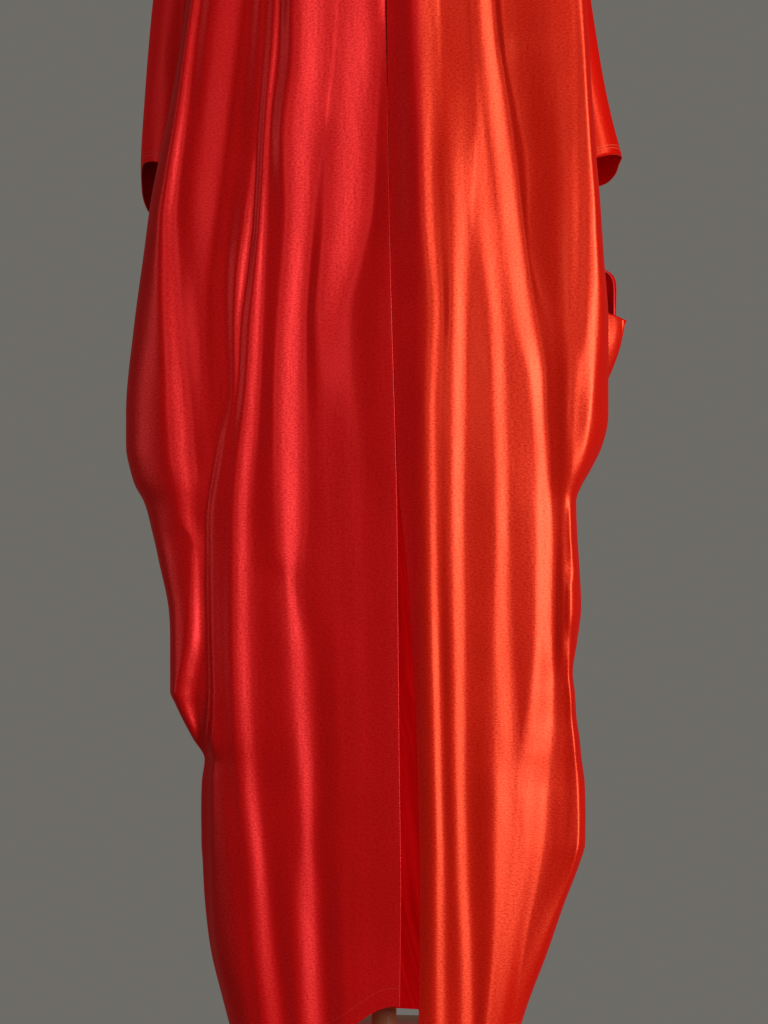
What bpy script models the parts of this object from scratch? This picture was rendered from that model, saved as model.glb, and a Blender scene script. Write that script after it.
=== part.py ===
"""Two-colour satin kaftan with a front slit, hanging on a limbless dress form.

Metres, +Z up.  The wearer's front faces -Y and +X is on the viewer's right.  It is laid out round
the pole of the stand, then centred, so the origin is on the floor in the middle of its box.  Each
panel is an open grid laid over horizontal rings of the hanging cloth, then given its wall with
Solidify.  A ring is half an arc in front and half an arc behind, joined at each side by a short
run that makes room for the empty sleeve.
"""

import math
from collections import namedtuple

import bmesh
import bpy
import numpy as np

# ---------------------------------------------------------------- driving sizes
CLOTH = 0.0020  # satin wall
SEAM = 0.0003  # gap between neighbouring pieces
ARMHOLE_GAP = 0.0005
HEM = 0.037
UNDERARM = 1.17
SQUARENESS = 3.6  # exponent of the front and back arcs

NECK_POINT = (0.085, 0.004, 1.452)  # where shoulder seam and neckline meet
SHOULDER_POINT = (0.185, 0.000, 1.408)  # outer end of the shoulder seam
FRONT_NECK = (0.108, 1.330)  # depth and height of the V's point
BACK_NECK = (0.072, 1.440)
NECK_SHARE = 0.42  # share of a panel's width that ends at the neckline
ARC_SHARE = 0.86  # share of a panel's width that lies on the arc
SIDE_FLAT = 0.72  # the run round the side is flat from here to the side seam
OUTER_LIMIT, LIMIT_STEP = 0.975, 0.012  # share of the reach that the last fold may lie at; per fold
LIMIT_SOFTNESS = 0.012
WELL_INSIDE = -4.0  # a fold this many softnesses inside its limit isn't moved

# Handles of the curves from the underarm ring to the neckline and the shoulder seam.
LEAVE_RISE, LEAVE_EASE = 0.42, 0.14  # share of the rise taken straight up; less at the side
SIDE_BELLY = 0.070
NECK_BELLY, SHOULDER_BELLY, NECK_DROP = 0.012, 0.068, 0.060
SHOULDER_FROM, SHOULDER_EASE = 0.16, 0.24  # share of the width where the shoulder's shape sets in

SLIT_TOP, SLIT_OPEN = 0.52, 0.43  # the centre seam ends; the slit reaches its width
SLIT_WIDTH = 0.0165
SLIT_CORNER_RISE, SLIT_CORNER_REACH = 0.050, 0.085  # rounded hem corner of the left front
SLIT_CORNER_FADE = 0.16  # height over the hem at which the rounding is spent
SLIT_EDGE = 0.016  # x of the left front's slit edge at the hem
MM = 0.001

SATIN_ROUGHNESS, SATIN_METALLIC = 0.36, 0.35
CRIMSON = (0.42, 0.010, 0.014, 1.0)
ORANGE = (0.62, 0.045, 0.012, 1.0)
LINEN = (0.66, 0.61, 0.53, 1.0)
WALNUT = (0.23, 0.10, 0.045, 1.0)
STEEL = (0.55, 0.55, 0.56, 1.0)

# ------------------------------------------------------------------ cloth rings
Section = namedtuple(
    "Section",
    "height left right left_side right_side left_back right_back front back front_corner back_corner",
)
# left/right: widest reach of the front arc; *_side: the side seam; *_back: reach of the back arc.
# front/back: depth of the arcs; *_corner: how far from the side seam the widest reach lies.
SECTIONS = [
    Section(0.037, 0.150, 0.134, 0.148, 0.132, 0.146, 0.130, 0.112, 0.112, 0.030, 0.030),
    Section(0.120, 0.173, 0.163, 0.171, 0.161, 0.168, 0.158, 0.116, 0.118, 0.030, 0.030),
    Section(0.220, 0.182, 0.199, 0.180, 0.197, 0.178, 0.192, 0.122, 0.126, 0.035, 0.035),
    Section(0.312, 0.183, 0.197, 0.181, 0.196, 0.179, 0.192, 0.126, 0.132, 0.040, 0.040),
    Section(0.375, 0.207, 0.191, 0.203, 0.190, 0.190, 0.187, 0.130, 0.136, 0.045, 0.045),
    Section(0.470, 0.214, 0.194, 0.210, 0.192, 0.200, 0.189, 0.134, 0.140, 0.045, 0.045),
    Section(0.553, 0.234, 0.190, 0.229, 0.188, 0.215, 0.185, 0.136, 0.142, 0.045, 0.045),
    Section(0.620, 0.257, 0.218, 0.250, 0.217, 0.230, 0.204, 0.138, 0.144, 0.050, 0.050),
    Section(0.730, 0.247, 0.221, 0.236, 0.216, 0.222, 0.206, 0.138, 0.144, 0.055, 0.055),
    Section(0.800, 0.238, 0.218, 0.202, 0.196, 0.196, 0.190, 0.137, 0.143, 0.065, 0.075),
    Section(0.855, 0.232, 0.214, 0.162, 0.160, 0.178, 0.176, 0.136, 0.141, 0.076, 0.100),
    Section(0.960, 0.211, 0.205, 0.154, 0.154, 0.168, 0.168, 0.134, 0.136, 0.078, 0.100),
    Section(1.060, 0.193, 0.196, 0.152, 0.155, 0.164, 0.165, 0.132, 0.128, 0.072, 0.090),
    Section(1.170, 0.182, 0.184, 0.152, 0.154, 0.160, 0.162, 0.131, 0.118, 0.066, 0.078),
]

# ------------------------------------------------------------------ fold lines
# Each row is one crest or valley.  x at five heights, then how far it stands out of the arc at
# three of them, all in millimetres.
FOLD_HEIGHTS = (0.04, 0.35, 0.55, 0.80, 1.06)
RISE_HEIGHTS = (0.04, 0.55, 1.06)
Line = namedtuple("Line", "name hem calf knee hip yoke rise_hem rise_knee rise_yoke")

# From the centre seam to the viewer's left; the first row is the seam and slit edge.
LEFT_LINES = [
    Line("slit edge", 16, 15, 13, 7, 2, 17, 8, 3),
    Line("valley by the seam", -17, -18, -21, -19, -6, 11, 5, -1),
    Line("crest four", -37, -42, -52, -56, -47, 3, 1, 10),
    Line("valley three", -56, -64, -73, -67, -61, -3, -2, 4),
    Line("crest three", -81, -92, -104, -96, -88, 9, 9, 14),
    Line("valley two", -100, -117, -121, -115, -94, 0, 1, 7),
    Line("crest two", -117, -142, -143, -128, -101, 10, 12, 15),
    Line("wing valley", -128, -168, -154, -133, -109, 2, -5, 6),
    Line("lens crest", -132, -172, -162, -141, -115, 1, -2, 8),
    Line("broad valley", -136, -176, -170, -164, -142, 0, -1, 0),
    Line("valley one", -140, -181, -182, -194, -170, 0, 1, 2),
    Line("crest one", -144, -188, -204, -218, -182, 0, 5, 4),
]
# From the centre seam to the viewer's right.
RIGHT_LINES = [
    Line("slit edge", 16, 15, 13, 7, 2, 2, 2, 3),
    Line("crest C", 46, 38, 36, 38, 31, 11, 11, 13),
    Line("valley C", 65, 60, 52, 55, 58, 3, 5, 4),
    Line("crest D", 69, 64, 60, 62, 71, 7, 8, 5),
    Line("valley D", 87, 85, 82, 81, 84, -3, -2, 3),
    Line("crest E", 96, 99, 102, 91, 90, 4, 6, 7),
    Line("valley E", 108, 125, 126, 113, 114, 2, 1, -2),
    Line("crest F", 112, 136, 138, 121, 120, 2, 6, 0),
    Line("valley F", 117, 168, 164, 154, 146, 0, -5, -4),
    Line("crest G", 121, 175, 172, 168, 166, 0, 1, 12),
    Line("valley G", 125, 180, 178, 187, 180, 0, 0, 4),
    Line("crest H", 129, 185, 183, 198, 188, 0, 1, 3),
]
# Behind, from the centre back to the viewer's left, and to the viewer's right.
BACK_LEFT_LINES = [
    Line("centre back", 0, 0, 0, 0, 0, 5, 6, 4),
    Line("valley", -30, -34, -32, -25, -18, -4, -3, 0),
    Line("crest", -54, -66, -70, -58, -46, 9, 10, 9),
    Line("valley", -86, -112, -122, -104, -84, -4, -5, -1),
    Line("crest", -112, -142, -158, -138, -118, 5, 8, 7),
]
BACK_RIGHT_LINES = [
    Line("centre back", 0, 0, 0, 0, 0, 5, 6, 4),
    Line("valley", 20, 26, 30, 28, 24, -2, -4, -1),
    Line("crest", 52, 60, 56, 50, 44, 10, 8, 8),
    Line("valley", 74, 100, 98, 82, 72, -4, -3, 0),
    Line("crest", 104, 140, 134, 120, 108, 6, 9, 6),
]

# ---------------------------------------------------------------------- sleeves
Cuff = namedtuple("Cuff", "inner outer front back front_height back_height")
Sleeve = namedtuple("Sleeve", "side cuff head flare")
# head: how far the crown stands off the armhole; flare: how far the outer line slants to the cuff
SLEEVE_LEAVE = 0.020  # how far the whole sleeve leaves the armhole sideways
SLEEVE_HANG = 0.55  # share of its length over which it hangs straight above the cuff
SLEEVES = {
    "left": Sleeve(-1, Cuff(0.176, 0.243, 0.042, 0.084, 0.903, 0.851), 0.018, 0.034),
    "right": Sleeve(1, Cuff(0.174, 0.239, 0.041, 0.078, 0.908, 0.871), 0.012, 0.066),
}

# ------------------------------------------------------------ pocket in the side
POCKET_TOP, POCKET_MIDDLE, POCKET_FOOT = 0.798, 0.750, 0.672
POCKET_LIP = 0.022  # how far the front lip stands off at its top
LIP_WALL = 0.0015
FRONT_LIP_SEAT, BACK_LIP_SEAT = 0.0006, -0.0006  # the side's facets lie inside its curve

# ------------------------------------------------------------------- dress form
FormRing = namedtuple("FormRing", "height half_width front back squareness")
SHOULDER_CLEARANCE = CLOTH + 0.0013
FORM_RINGS = [
    FormRing(0.842, 0.128, 0.092, 0.104, 2.2),
    FormRing(0.850, 0.136, 0.098, 0.111, 2.2),
    FormRing(0.900, 0.139, 0.100, 0.114, 2.2),
    FormRing(0.960, 0.130, 0.094, 0.104, 2.2),
    FormRing(1.030, 0.116, 0.084, 0.086, 2.2),
    FormRing(1.090, 0.124, 0.096, 0.084, 2.2),
    FormRing(1.170, 0.136, 0.112, 0.090, 2.1),
    FormRing(1.250, 0.136, 0.104, 0.090, 2.0),
    FormRing(1.320, 0.140, 0.076, 0.082, 1.9),
    FormRing(1.365, 0.150, 0.055, 0.062, 1.8),
    FormRing(1.392, 0.160, 0.038, 0.044, 1.7),
]
ShoulderStep = namedtuple("ShoulderStep", "x front back squareness")
SHOULDER_STEPS = [  # rings that end on the shoulder line, outer end first
    ShoulderStep(0.162, 0.028, 0.034, 1.7),
    ShoulderStep(0.140, 0.032, 0.036, 1.6),
    ShoulderStep(0.115, 0.026, 0.034, 1.4),
    ShoulderStep(0.099, 0.009, 0.028, 1.3),
]
NECK_RINGS = [
    FormRing(1.453, 0.056, 0.030, 0.036, 1.8),
    FormRing(1.468, 0.050, 0.040, 0.042, 2.0),
    FormRing(1.500, 0.048, 0.042, 0.044, 2.0),
]
NECK_FOOT, NECK_HALF = 1.380, (0.051, 0.046)  # the neck's column runs down into the shoulders
NECK_BLEND = 10
CAP_THICK, CAP_RADIUS, CAP_ROUNDING = 0.016, 0.055, 0.004
POLE_RADIUS = 0.0125
BASE_RADIUS, BASE_THICK, BASE_ROUNDING = 0.160, 0.024, 0.005
SHARP_ANGLE = math.radians(40)  # edges steeper than this stay sharp on the round pieces


# ------------------------------------------------------------------- arithmetic
def smooth(t):
    t = np.clip(t, 0.0, 1.0)
    return t * t * (3.0 - 2.0 * t)


def curve_through(heights, values, z):
    """A smooth curve through values at rising heights, read at z, with no overshoot."""
    h = np.asarray(heights, float)
    v = np.asarray(values, float)
    step = np.diff(v) / np.diff(h)
    slope = np.concatenate([[step[0]], (step[:-1] + step[1:]) / 2, [step[-1]]])
    turning = np.concatenate([[False], step[:-1] * step[1:] <= 0, [False]])
    slope[turning] = 0.0
    z = min(max(z, h[0]), h[-1])
    i = min(int(np.searchsorted(h, z, side="right")) - 1, len(h) - 2)
    gap = h[i + 1] - h[i]
    t = (z - h[i]) / gap
    return (
        v[i] * (1 + 2 * t) * (1 - t) ** 2
        + v[i + 1] * t * t * (3 - 2 * t)
        + gap * (slope[i] * t * (1 - t) ** 2 - slope[i + 1] * t * t * (1 - t))
    )


def section_at(z):
    heights = [s.height for s in SECTIONS]
    return Section(*(curve_through(heights, column, z) for column in zip(*SECTIONS)))


def slit_gap(z):
    return SLIT_WIDTH * float(smooth((SLIT_TOP - z) / (SLIT_TOP - SLIT_OPEN)))


def line_places(lines, z, side, reach, shift):
    """x and rise of every fold line at height z, in metres, kept inside the arc's reach."""
    places = []
    for k, row in enumerate(lines):
        x = curve_through(FOLD_HEIGHTS, row[1:6], z) * MM
        rise = curve_through(RISE_HEIGHTS, row[6:9], z) * MM
        if k == 0:
            x += shift
        else:
            limit = reach * (OUTER_LIMIT - LIMIT_STEP * (len(lines) - 1 - k))
            over = (side * x - limit) / LIMIT_SOFTNESS
            eased = over if over < WELL_INSIDE else -math.log1p(math.exp(-over))
            x = side * (limit + LIMIT_SOFTNESS * eased)
        places.append((x, rise))
    return places


# ------------------------------------------------------------- points on a ring
def arc_point(side, facing, reach, corner, depth, centre, x, rise):
    """The point of an arc at x, stood out by rise along the arc's own normal."""
    half = side * reach - centre
    share = min(max((x - centre) / half, 0.0), 1.0)
    up = max(1.0 - share**SQUARENESS, 0.0) ** (1.0 / SQUARENESS)
    nx = share ** (SQUARENESS - 1) / abs(half)
    ny = up ** (SQUARENESS - 1) / (depth - corner)
    size = math.hypot(nx, ny)
    px = centre + half * share + side * rise * nx / size
    py = facing * (corner + (depth - corner) * up + rise * ny / size)
    return px, py


class Panel:
    """Half of the front or back: its fold lines, and the ring columns that follow them."""

    def __init__(self, side, facing, lines, slit=False, rounded_corner=False):
        self.side, self.facing, self.lines, self.slit = side, facing, lines, slit
        self.rounded_corner = rounded_corner  # the hem is cut round where it meets the slit
        self.last = len(lines)  # column of the arc's outer end
        self.end = self.last + 1  # column of the side seam

    def outline(self, s):
        """reach, side seam, depth and corner of this half at a section."""
        if self.facing < 0:
            reach, seam = (s.left, s.left_side) if self.side < 0 else (s.right, s.right_side)
            return reach, seam, s.front, s.front_corner
        reach, seam = (s.left_back, s.left_side) if self.side < 0 else (s.right_back, s.right_side)
        return reach, seam, s.back, s.back_corner

    def ring_point(self, column, z):
        """(x, y) of a column at height z, and its share of the panel's width."""
        reach, seam, depth, corner = self.outline(section_at(z))
        shift = slit_gap(z) if self.slit else 0.0
        if self.facing < 0:
            shift += self.side * SEAM / 2
        places = line_places(self.lines, z, self.side, reach, shift)
        centre = places[0][0]
        if column <= self.last:
            k = min(int(column), self.last - 1)
            f = column - k
            x0, r0 = places[k]
            if k + 1 < len(places):
                x1, r1 = places[k + 1]
                x = x0 + (x1 - x0) * f
            else:
                x1, r1 = self.side * reach, 0.0
                x = x0 + (x1 - x0) * math.sin(f * math.pi / 2)
            rise = r0 + (r1 - r0) * (1 - math.cos(math.pi * f)) / 2
            share = ARC_SHARE * abs(x - centre) / abs(self.side * reach - centre)
            return *arc_point(self.side, self.facing, reach, corner, depth, centre, x, rise), share
        s = column - self.last
        x = self.side * (reach + (seam - reach) * float(smooth(s / SIDE_FLAT)))
        y = self.facing * (corner * (1 - s) + SEAM / 2 * s)
        return x, y, ARC_SHARE + (1 - ARC_SHARE) * s

    def top_point(self, share):
        """Where a column ends: on the neckline, or on the shoulder seam."""
        nx, ny, nz = NECK_POINT
        sx, sy, sz = SHOULDER_POINT
        if share < NECK_SHARE:
            t = share / NECK_SHARE
            depth, height = FRONT_NECK if self.facing < 0 else BACK_NECK
            x = nx * (t if self.facing < 0 else math.sin(t * math.pi / 2))
            bend = t**1.2 if self.facing < 0 else 1 - math.cos(t * math.pi / 2)
            back_off = t**3.4 if self.facing < 0 else t**2.2
            y = self.facing * depth * (1 - back_off) + ny * back_off
            z = height + (nz - height) * bend
        else:
            t = (share - NECK_SHARE) / (1 - NECK_SHARE)
            x, y, z = nx + (sx - nx) * t, ny + (sy - ny) * t, nz + (sz - nz) * t
        return np.array([self.side * (x + SEAM / 2), y + self.facing * SEAM, z])

    def yoke_point(self, column, v):
        """A point between the underarm ring, v = 0, and the neckline or shoulder seam, v = 1."""
        x, y, share = self.ring_point(column, UNDERARM)
        low = np.array([x, y, UNDERARM])
        high = self.top_point(share)
        rise = high[2] - low[2]
        side_share = float(smooth((share - ARC_SHARE) / (1 - ARC_SHARE)))
        on_shoulder = float(smooth((share - SHOULDER_FROM) / SHOULDER_EASE))
        f = self.facing
        leave = np.array(
            [0.0, f * SIDE_BELLY * side_share, rise * (LEAVE_RISE - LEAVE_EASE * side_share)]
        )
        arrive = np.array(
            [0.0, f * (NECK_BELLY + SHOULDER_BELLY * on_shoulder), -NECK_DROP * (1 - on_shoulder)]
        )
        a, b = low + leave, high + arrive
        w = 1 - v
        return w**3 * low + 3 * w * w * v * a + 3 * w * v * v * b + v**3 * high

    def point(self, column, level):
        """A point of the panel; level is a height up to the underarm, then underarm + v."""
        if level > UNDERARM:
            return self.yoke_point(column, level - UNDERARM)
        x, y, share = self.ring_point(column, level)
        lift = 0.0
        if self.rounded_corner:
            near = max(0.0, 1 - abs(x - SLIT_EDGE) / SLIT_CORNER_REACH)
            spent = float(smooth((level - HEM) / SLIT_CORNER_FADE))
            lift = SLIT_CORNER_RISE * near**2 * (1 - spent)
        return np.array([x, y, level + lift])


# ------------------------------------------------------------------ mesh making
def new_object(name, mesh, colour, roughness, metallic, collection):
    material = bpy.data.materials.get(f"{name}_finish") or bpy.data.materials.new(f"{name}_finish")
    material.use_nodes = True
    shader = material.node_tree.nodes["Principled BSDF"]
    shader.inputs["Base Color"].default_value = colour
    shader.inputs["Roughness"].default_value = roughness
    shader.inputs["Metallic"].default_value = metallic
    mesh.materials.append(material)
    obj = bpy.data.objects.new(name, mesh)
    collection.objects.link(obj)
    return obj


def shade_round(mesh):
    mesh.shade_smooth()
    mesh.set_sharp_from_angle(angle=SHARP_ANGLE)


def grid_mesh(name, place, columns, rows, closed=False, flip=False, capped=False):
    """A grid with a vertex at each pair of column and row, put where place(column, row) says."""
    bm = bmesh.new()
    bmesh.ops.create_grid(bm, x_segments=len(columns) - 1, y_segments=len(rows) - 1, size=1.0)
    for v in bm.verts:
        i = round((v.co.x + 1) / 2 * (len(columns) - 1))
        j = round((v.co.y + 1) / 2 * (len(rows) - 1))
        v.co = place(columns[i], rows[j])
    if closed:
        bmesh.ops.remove_doubles(bm, verts=bm.verts, dist=1e-5)
    if flip:
        bmesh.ops.reverse_faces(bm, faces=bm.faces)
    if capped:
        bmesh.ops.holes_fill(bm, edges=bm.edges, sides=0)
        bmesh.ops.recalc_face_normals(bm, faces=bm.faces)
    mesh = bpy.data.meshes.new(name)
    bm.to_mesh(mesh)
    bm.free()
    shade_round(mesh)
    return mesh


def give_wall(obj, thickness=CLOTH):
    wall = obj.modifiers.new("wall", "SOLIDIFY")
    wall.thickness = thickness
    wall.offset = -1.0
    wall.use_quality_normals = True


def panel_columns(panel):
    """Every fold line, a flat strip at the seam, and steps round the side."""
    first = [0.0, 0.14]
    lines = [float(k) for k in range(1, panel.last)]
    outer = [panel.last - 0.6, panel.last - 0.25, float(panel.last)]
    side = [panel.last + 0.45, panel.last + 0.97, float(panel.end)]
    return first + lines + outer + side


SKIRT_LEVELS = [
    0.037, 0.075, 0.125, 0.175, 0.220, 0.265, 0.305, 0.335, 0.365, 0.400, 0.440, 0.480,
    0.515, 0.545, 0.570, 0.595, 0.620, 0.655, 0.705, 0.765, 0.825, 0.885, 0.950, 1.025, 1.100,
]
YOKE_LEVELS = [UNDERARM + v for v in (0.0, 0.16, 0.34, 0.52, 0.68, 0.82, 0.93, 0.985, 1.0)]


def make_front(name, panel, colour, collection):
    mesh = grid_mesh(
        name,
        lambda c, z: tuple(panel.point(c, z)),
        panel_columns(panel),
        SKIRT_LEVELS + YOKE_LEVELS,
        flip=panel.side < 0,
    )
    obj = new_object(name, mesh, colour, SATIN_ROUGHNESS, SATIN_METALLIC, collection)
    give_wall(obj)
    return obj


def make_back(left, right, collection):
    """The back in one piece, from the left side seam round to the right one."""
    left_columns = [-c for c in reversed(panel_columns(left)[2:])]
    right_columns = panel_columns(right)[2:]
    columns = left_columns + [0.0] + right_columns

    def place(column, level):
        half = left if column < 0 else right
        return tuple(half.point(abs(column), level))

    mesh = grid_mesh("back", place, columns, SKIRT_LEVELS + YOKE_LEVELS, flip=True)
    obj = new_object("back", mesh, CRIMSON, SATIN_ROUGHNESS, SATIN_METALLIC, collection)
    give_wall(obj)
    return obj


# ---------------------------------------------------------------------- sleeves
def armhole_point(front, back, turn):
    """The armhole loop: turn 0 at the shoulder, 0.5 at the underarm, the front edge first."""
    half = front if turn <= 0.5 else back
    v = 1 - 2 * turn if turn <= 0.5 else 2 * turn - 1
    return half.yoke_point(half.end, v)


def sleeve_point(name, front, back, turn, along):
    """A point of a sleeve that leaves the armhole sideways and hangs down to the cuff."""
    side, cuff, head, flare = SLEEVES[name]
    turn = turn % 1.0
    start = armhole_point(front, back, turn) + np.array([side * ARMHOLE_GAP, 0, 0])
    angle = 2 * math.pi * turn
    across = (1 + math.cos(angle)) / 2  # 1 at the shoulder line, 0 at the underarm line
    middle_y = (cuff.back - cuff.front) / 2
    half_y = (cuff.back + cuff.front) / 2
    y = middle_y - half_y * math.sin(angle)
    x = side * (cuff.inner + (cuff.outer - cuff.inner) * across)
    fall = (y + cuff.front) / (cuff.back + cuff.front)
    z = cuff.front_height + (cuff.back_height - cuff.front_height) * fall
    end = np.array([x, y, z])
    leave = start + np.array([side * (SLEEVE_LEAVE + head * across), 0, 0])
    arrive = end + np.array([-side * flare * across, 0.0, SLEEVE_HANG * (start[2] - z)])
    w = 1 - along
    return (
        w**3 * start + 3 * w * w * along * leave + 3 * w * along**2 * arrive + along**3 * end
    )


def make_sleeve(name, front, back, colour, collection):
    turns = [k / 16 for k in range(17)]
    alongs = [0.0, 0.02, 0.08, 0.16, 0.27, 0.39, 0.52, 0.66, 0.80, 0.91, 1.0]
    mesh = grid_mesh(
        f"sleeve_{name}",
        lambda t, s: tuple(sleeve_point(name, front, back, t, s)),
        turns,
        alongs,
        closed=True,
        flip=front.side < 0,
    )
    obj = new_object(f"sleeve_{name}", mesh, colour, SATIN_ROUGHNESS, SATIN_METALLIC, collection)
    give_wall(obj)
    return obj


# ------------------------------------------------------------------- dress form
def form_ring_list():
    nx, _, nz = NECK_POINT
    sx, _, sz = SHOULDER_POINT
    rings = list(FORM_RINGS)
    for step in SHOULDER_STEPS:
        seam_height = nz + (sz - nz) * (step.x - nx) / (sx - nx)
        height = seam_height - SHOULDER_CLEARANCE
        rings.append(FormRing(height, step.x, step.front, step.back, step.squareness))
    return rings + NECK_RINGS


def make_torso(collection):
    rings = form_ring_list()
    turns = [k / 40 for k in range(41)]

    def radius(across, along, half_width, depth, squareness):
        sum_of_powers = (abs(across) / half_width) ** squareness + (abs(along) / depth) ** squareness
        return sum_of_powers ** (-1 / squareness)

    def place(turn, ring):
        angle = 2 * math.pi * (turn % 1.0)
        across, along = math.cos(angle), math.sin(angle)
        depth = ring.back if along > 0 else ring.front
        r = radius(across, along, ring.half_width, depth, ring.squareness)
        if ring.height > NECK_FOOT:
            neck = radius(across, along, *NECK_HALF, 2.0)
            r = (r**NECK_BLEND + neck**NECK_BLEND) ** (1 / NECK_BLEND)
        return r * across, r * along, ring.height

    mesh = grid_mesh("form_torso", place, turns, rings, closed=True, capped=True)
    new_object("form_torso", mesh, LINEN, 0.85, 0.0, collection)


def make_cylinder(name, radius, low, high, colour, collection, bevel=0.0, metallic=0.0, sides=40):
    bm = bmesh.new()
    bmesh.ops.create_cone(
        bm, cap_ends=True, segments=sides, radius1=radius, radius2=radius, depth=high - low
    )
    bmesh.ops.translate(bm, verts=bm.verts, vec=(0, 0, (high + low) / 2))
    mesh = bpy.data.meshes.new(name)
    bm.to_mesh(mesh)
    bm.free()
    shade_round(mesh)
    obj = new_object(name, mesh, colour, 0.45, metallic, collection)
    if bevel:
        rounding = obj.modifiers.new("rounding", "BEVEL")
        rounding.width = bevel
        rounding.segments = 2
        rounding.limit_method = "ANGLE"


def make_form(collection):
    make_torso(collection)
    neck_top = NECK_RINGS[-1].height
    form_foot = FORM_RINGS[0].height
    cap_top = neck_top + CAP_THICK
    make_cylinder(
        "form_neck_cap", CAP_RADIUS, neck_top + SEAM, cap_top, WALNUT, collection, CAP_ROUNDING
    )
    make_cylinder(
        "form_pole", POLE_RADIUS, BASE_THICK + SEAM, form_foot - SEAM, STEEL, collection,
        metallic=1.0, sides=24,
    )
    make_cylinder(
        "form_base", BASE_RADIUS, 0.0, BASE_THICK, WALNUT, collection, BASE_ROUNDING, sides=64
    )


# -------------------------------------------------------------- side-seam pocket
def stand_off(panel, column, z, lift):
    """A point of the side held off the cloth by lift, square to it."""
    x, y, _ = panel.ring_point(column, z)
    xa, ya, _ = panel.ring_point(column - 0.02, z)
    size = math.hypot(x - xa, y - ya)
    nx, ny = abs(y - ya) / size, (x - xa) / size * math.copysign(1, ya - y)
    return x + nx * lift, y + ny * lift, z


def make_pocket(front, back, collection):
    """The pocket mouth that gapes at the right side: an orange lip in front, a crimson one behind."""
    def front_lip(across, level):
        t = (level - POCKET_FOOT) / (POCKET_MIDDLE - POCKET_FOOT)
        swell = POCKET_LIP * t**0.75 * math.sin(math.pi * across**0.85)
        width = 0.56 * math.sin(0.12 + 1.75 * t) ** 0.7
        column = front.end - 0.05 - width * (1 - across)
        x, y, z = stand_off(front, column, level, FRONT_LIP_SEAT + LIP_WALL + swell)
        return x, y, z - 0.005 * swell / POCKET_LIP

    def back_lip(across, level):
        t = (level - POCKET_FOOT) / (POCKET_TOP - POCKET_FOOT)
        swell = 0.95 * POCKET_LIP * float(smooth(t / 0.5)) * (1 - t**9)
        swell *= math.sin(math.pi * (0.28 + 0.72 * across))
        width = 0.62 * math.sin(math.pi * (0.03 + 0.93 * t)) ** 0.6
        column = back.end - 0.04 - width * across
        return stand_off(back, column, level, BACK_LIP_SEAT + LIP_WALL + max(swell, 0.0))

    front_levels = [POCKET_FOOT + (POCKET_MIDDLE - POCKET_FOOT) * k / 6 for k in range(7)]
    back_levels = [POCKET_FOOT + (POCKET_TOP - POCKET_FOOT) * k / 8 for k in range(7)]
    back_levels += [POCKET_TOP - 0.008, POCKET_TOP]
    steps = [k / 6 for k in range(7)]
    for name, place, levels, colour in (
        ("pocket_lip_front", front_lip, front_levels, ORANGE),
        ("pocket_lip_back", back_lip, back_levels, CRIMSON),
    ):
        mesh = grid_mesh(name, place, steps, levels, flip=place is back_lip)
        obj = new_object(name, mesh, colour, SATIN_ROUGHNESS, SATIN_METALLIC, collection)
        give_wall(obj, LIP_WALL)


# --------------------------------------------------------------------- assembly
def centre_on_floor(collection):
    """Moves every object so that the middle of the whole box is over the origin."""
    depsgraph = bpy.context.evaluated_depsgraph_get()
    boxes = [np.array(obj.evaluated_get(depsgraph).bound_box) for obj in collection.objects]
    corners = np.concatenate(boxes)
    middle = (corners.min(axis=0) + corners.max(axis=0)) / 2
    for obj in collection.objects:
        obj.location.x -= middle[0]
        obj.location.y -= middle[1]


def main():
    for obj in list(bpy.data.objects):
        bpy.data.objects.remove(obj, do_unlink=True)
    collection = bpy.data.collections.new("kaftan_on_dress_form")
    bpy.context.scene.collection.children.link(collection)

    front_left = Panel(-1, -1, LEFT_LINES, rounded_corner=True)
    front_right = Panel(1, -1, RIGHT_LINES, slit=True)
    back_left = Panel(-1, 1, BACK_LEFT_LINES)
    back_right = Panel(1, 1, BACK_RIGHT_LINES)

    make_front("front_left", front_left, CRIMSON, collection)
    make_front("front_right", front_right, ORANGE, collection)
    make_back(back_left, back_right, collection)
    make_sleeve("left", front_left, back_left, CRIMSON, collection)
    make_sleeve("right", front_right, back_right, ORANGE, collection)
    make_pocket(front_right, back_right, collection)
    make_form(collection)
    centre_on_floor(collection)


main()
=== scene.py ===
"""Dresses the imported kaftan: satin panels with their folds, sleeves, pocket, stitching and form.

Metres, +Z up, in the frame's own place.  The wearer's front faces -Y and +X is on the viewer's
right.  The garment is laid out round the pole of its stand: every x in the tables is measured
from the pole, and CENTRE is added when a piece is finished.
"""

import math
from collections import namedtuple

import bmesh
import bpy
import numpy as np
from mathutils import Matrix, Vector, noise


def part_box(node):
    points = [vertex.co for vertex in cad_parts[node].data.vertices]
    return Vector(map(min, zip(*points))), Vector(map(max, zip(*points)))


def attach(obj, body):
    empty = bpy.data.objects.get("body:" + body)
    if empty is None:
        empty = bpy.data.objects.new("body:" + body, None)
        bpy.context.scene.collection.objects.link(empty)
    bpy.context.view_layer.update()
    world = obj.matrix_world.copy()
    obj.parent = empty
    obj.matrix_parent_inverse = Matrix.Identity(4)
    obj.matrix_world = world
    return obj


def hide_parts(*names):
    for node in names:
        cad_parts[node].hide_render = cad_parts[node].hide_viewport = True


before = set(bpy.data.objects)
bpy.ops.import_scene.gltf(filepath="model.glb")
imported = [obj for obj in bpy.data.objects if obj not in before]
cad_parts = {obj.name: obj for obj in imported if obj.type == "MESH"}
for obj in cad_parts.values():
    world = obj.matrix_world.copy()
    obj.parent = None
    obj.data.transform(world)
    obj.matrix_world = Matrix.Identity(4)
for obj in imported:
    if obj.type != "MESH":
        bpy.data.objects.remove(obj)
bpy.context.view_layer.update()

BASE_LOW, BASE_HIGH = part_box("form_base")
CENTRE = (BASE_LOW.x + BASE_HIGH.x) / 2
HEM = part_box("front_right")[0].z
MM = 0.001

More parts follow.
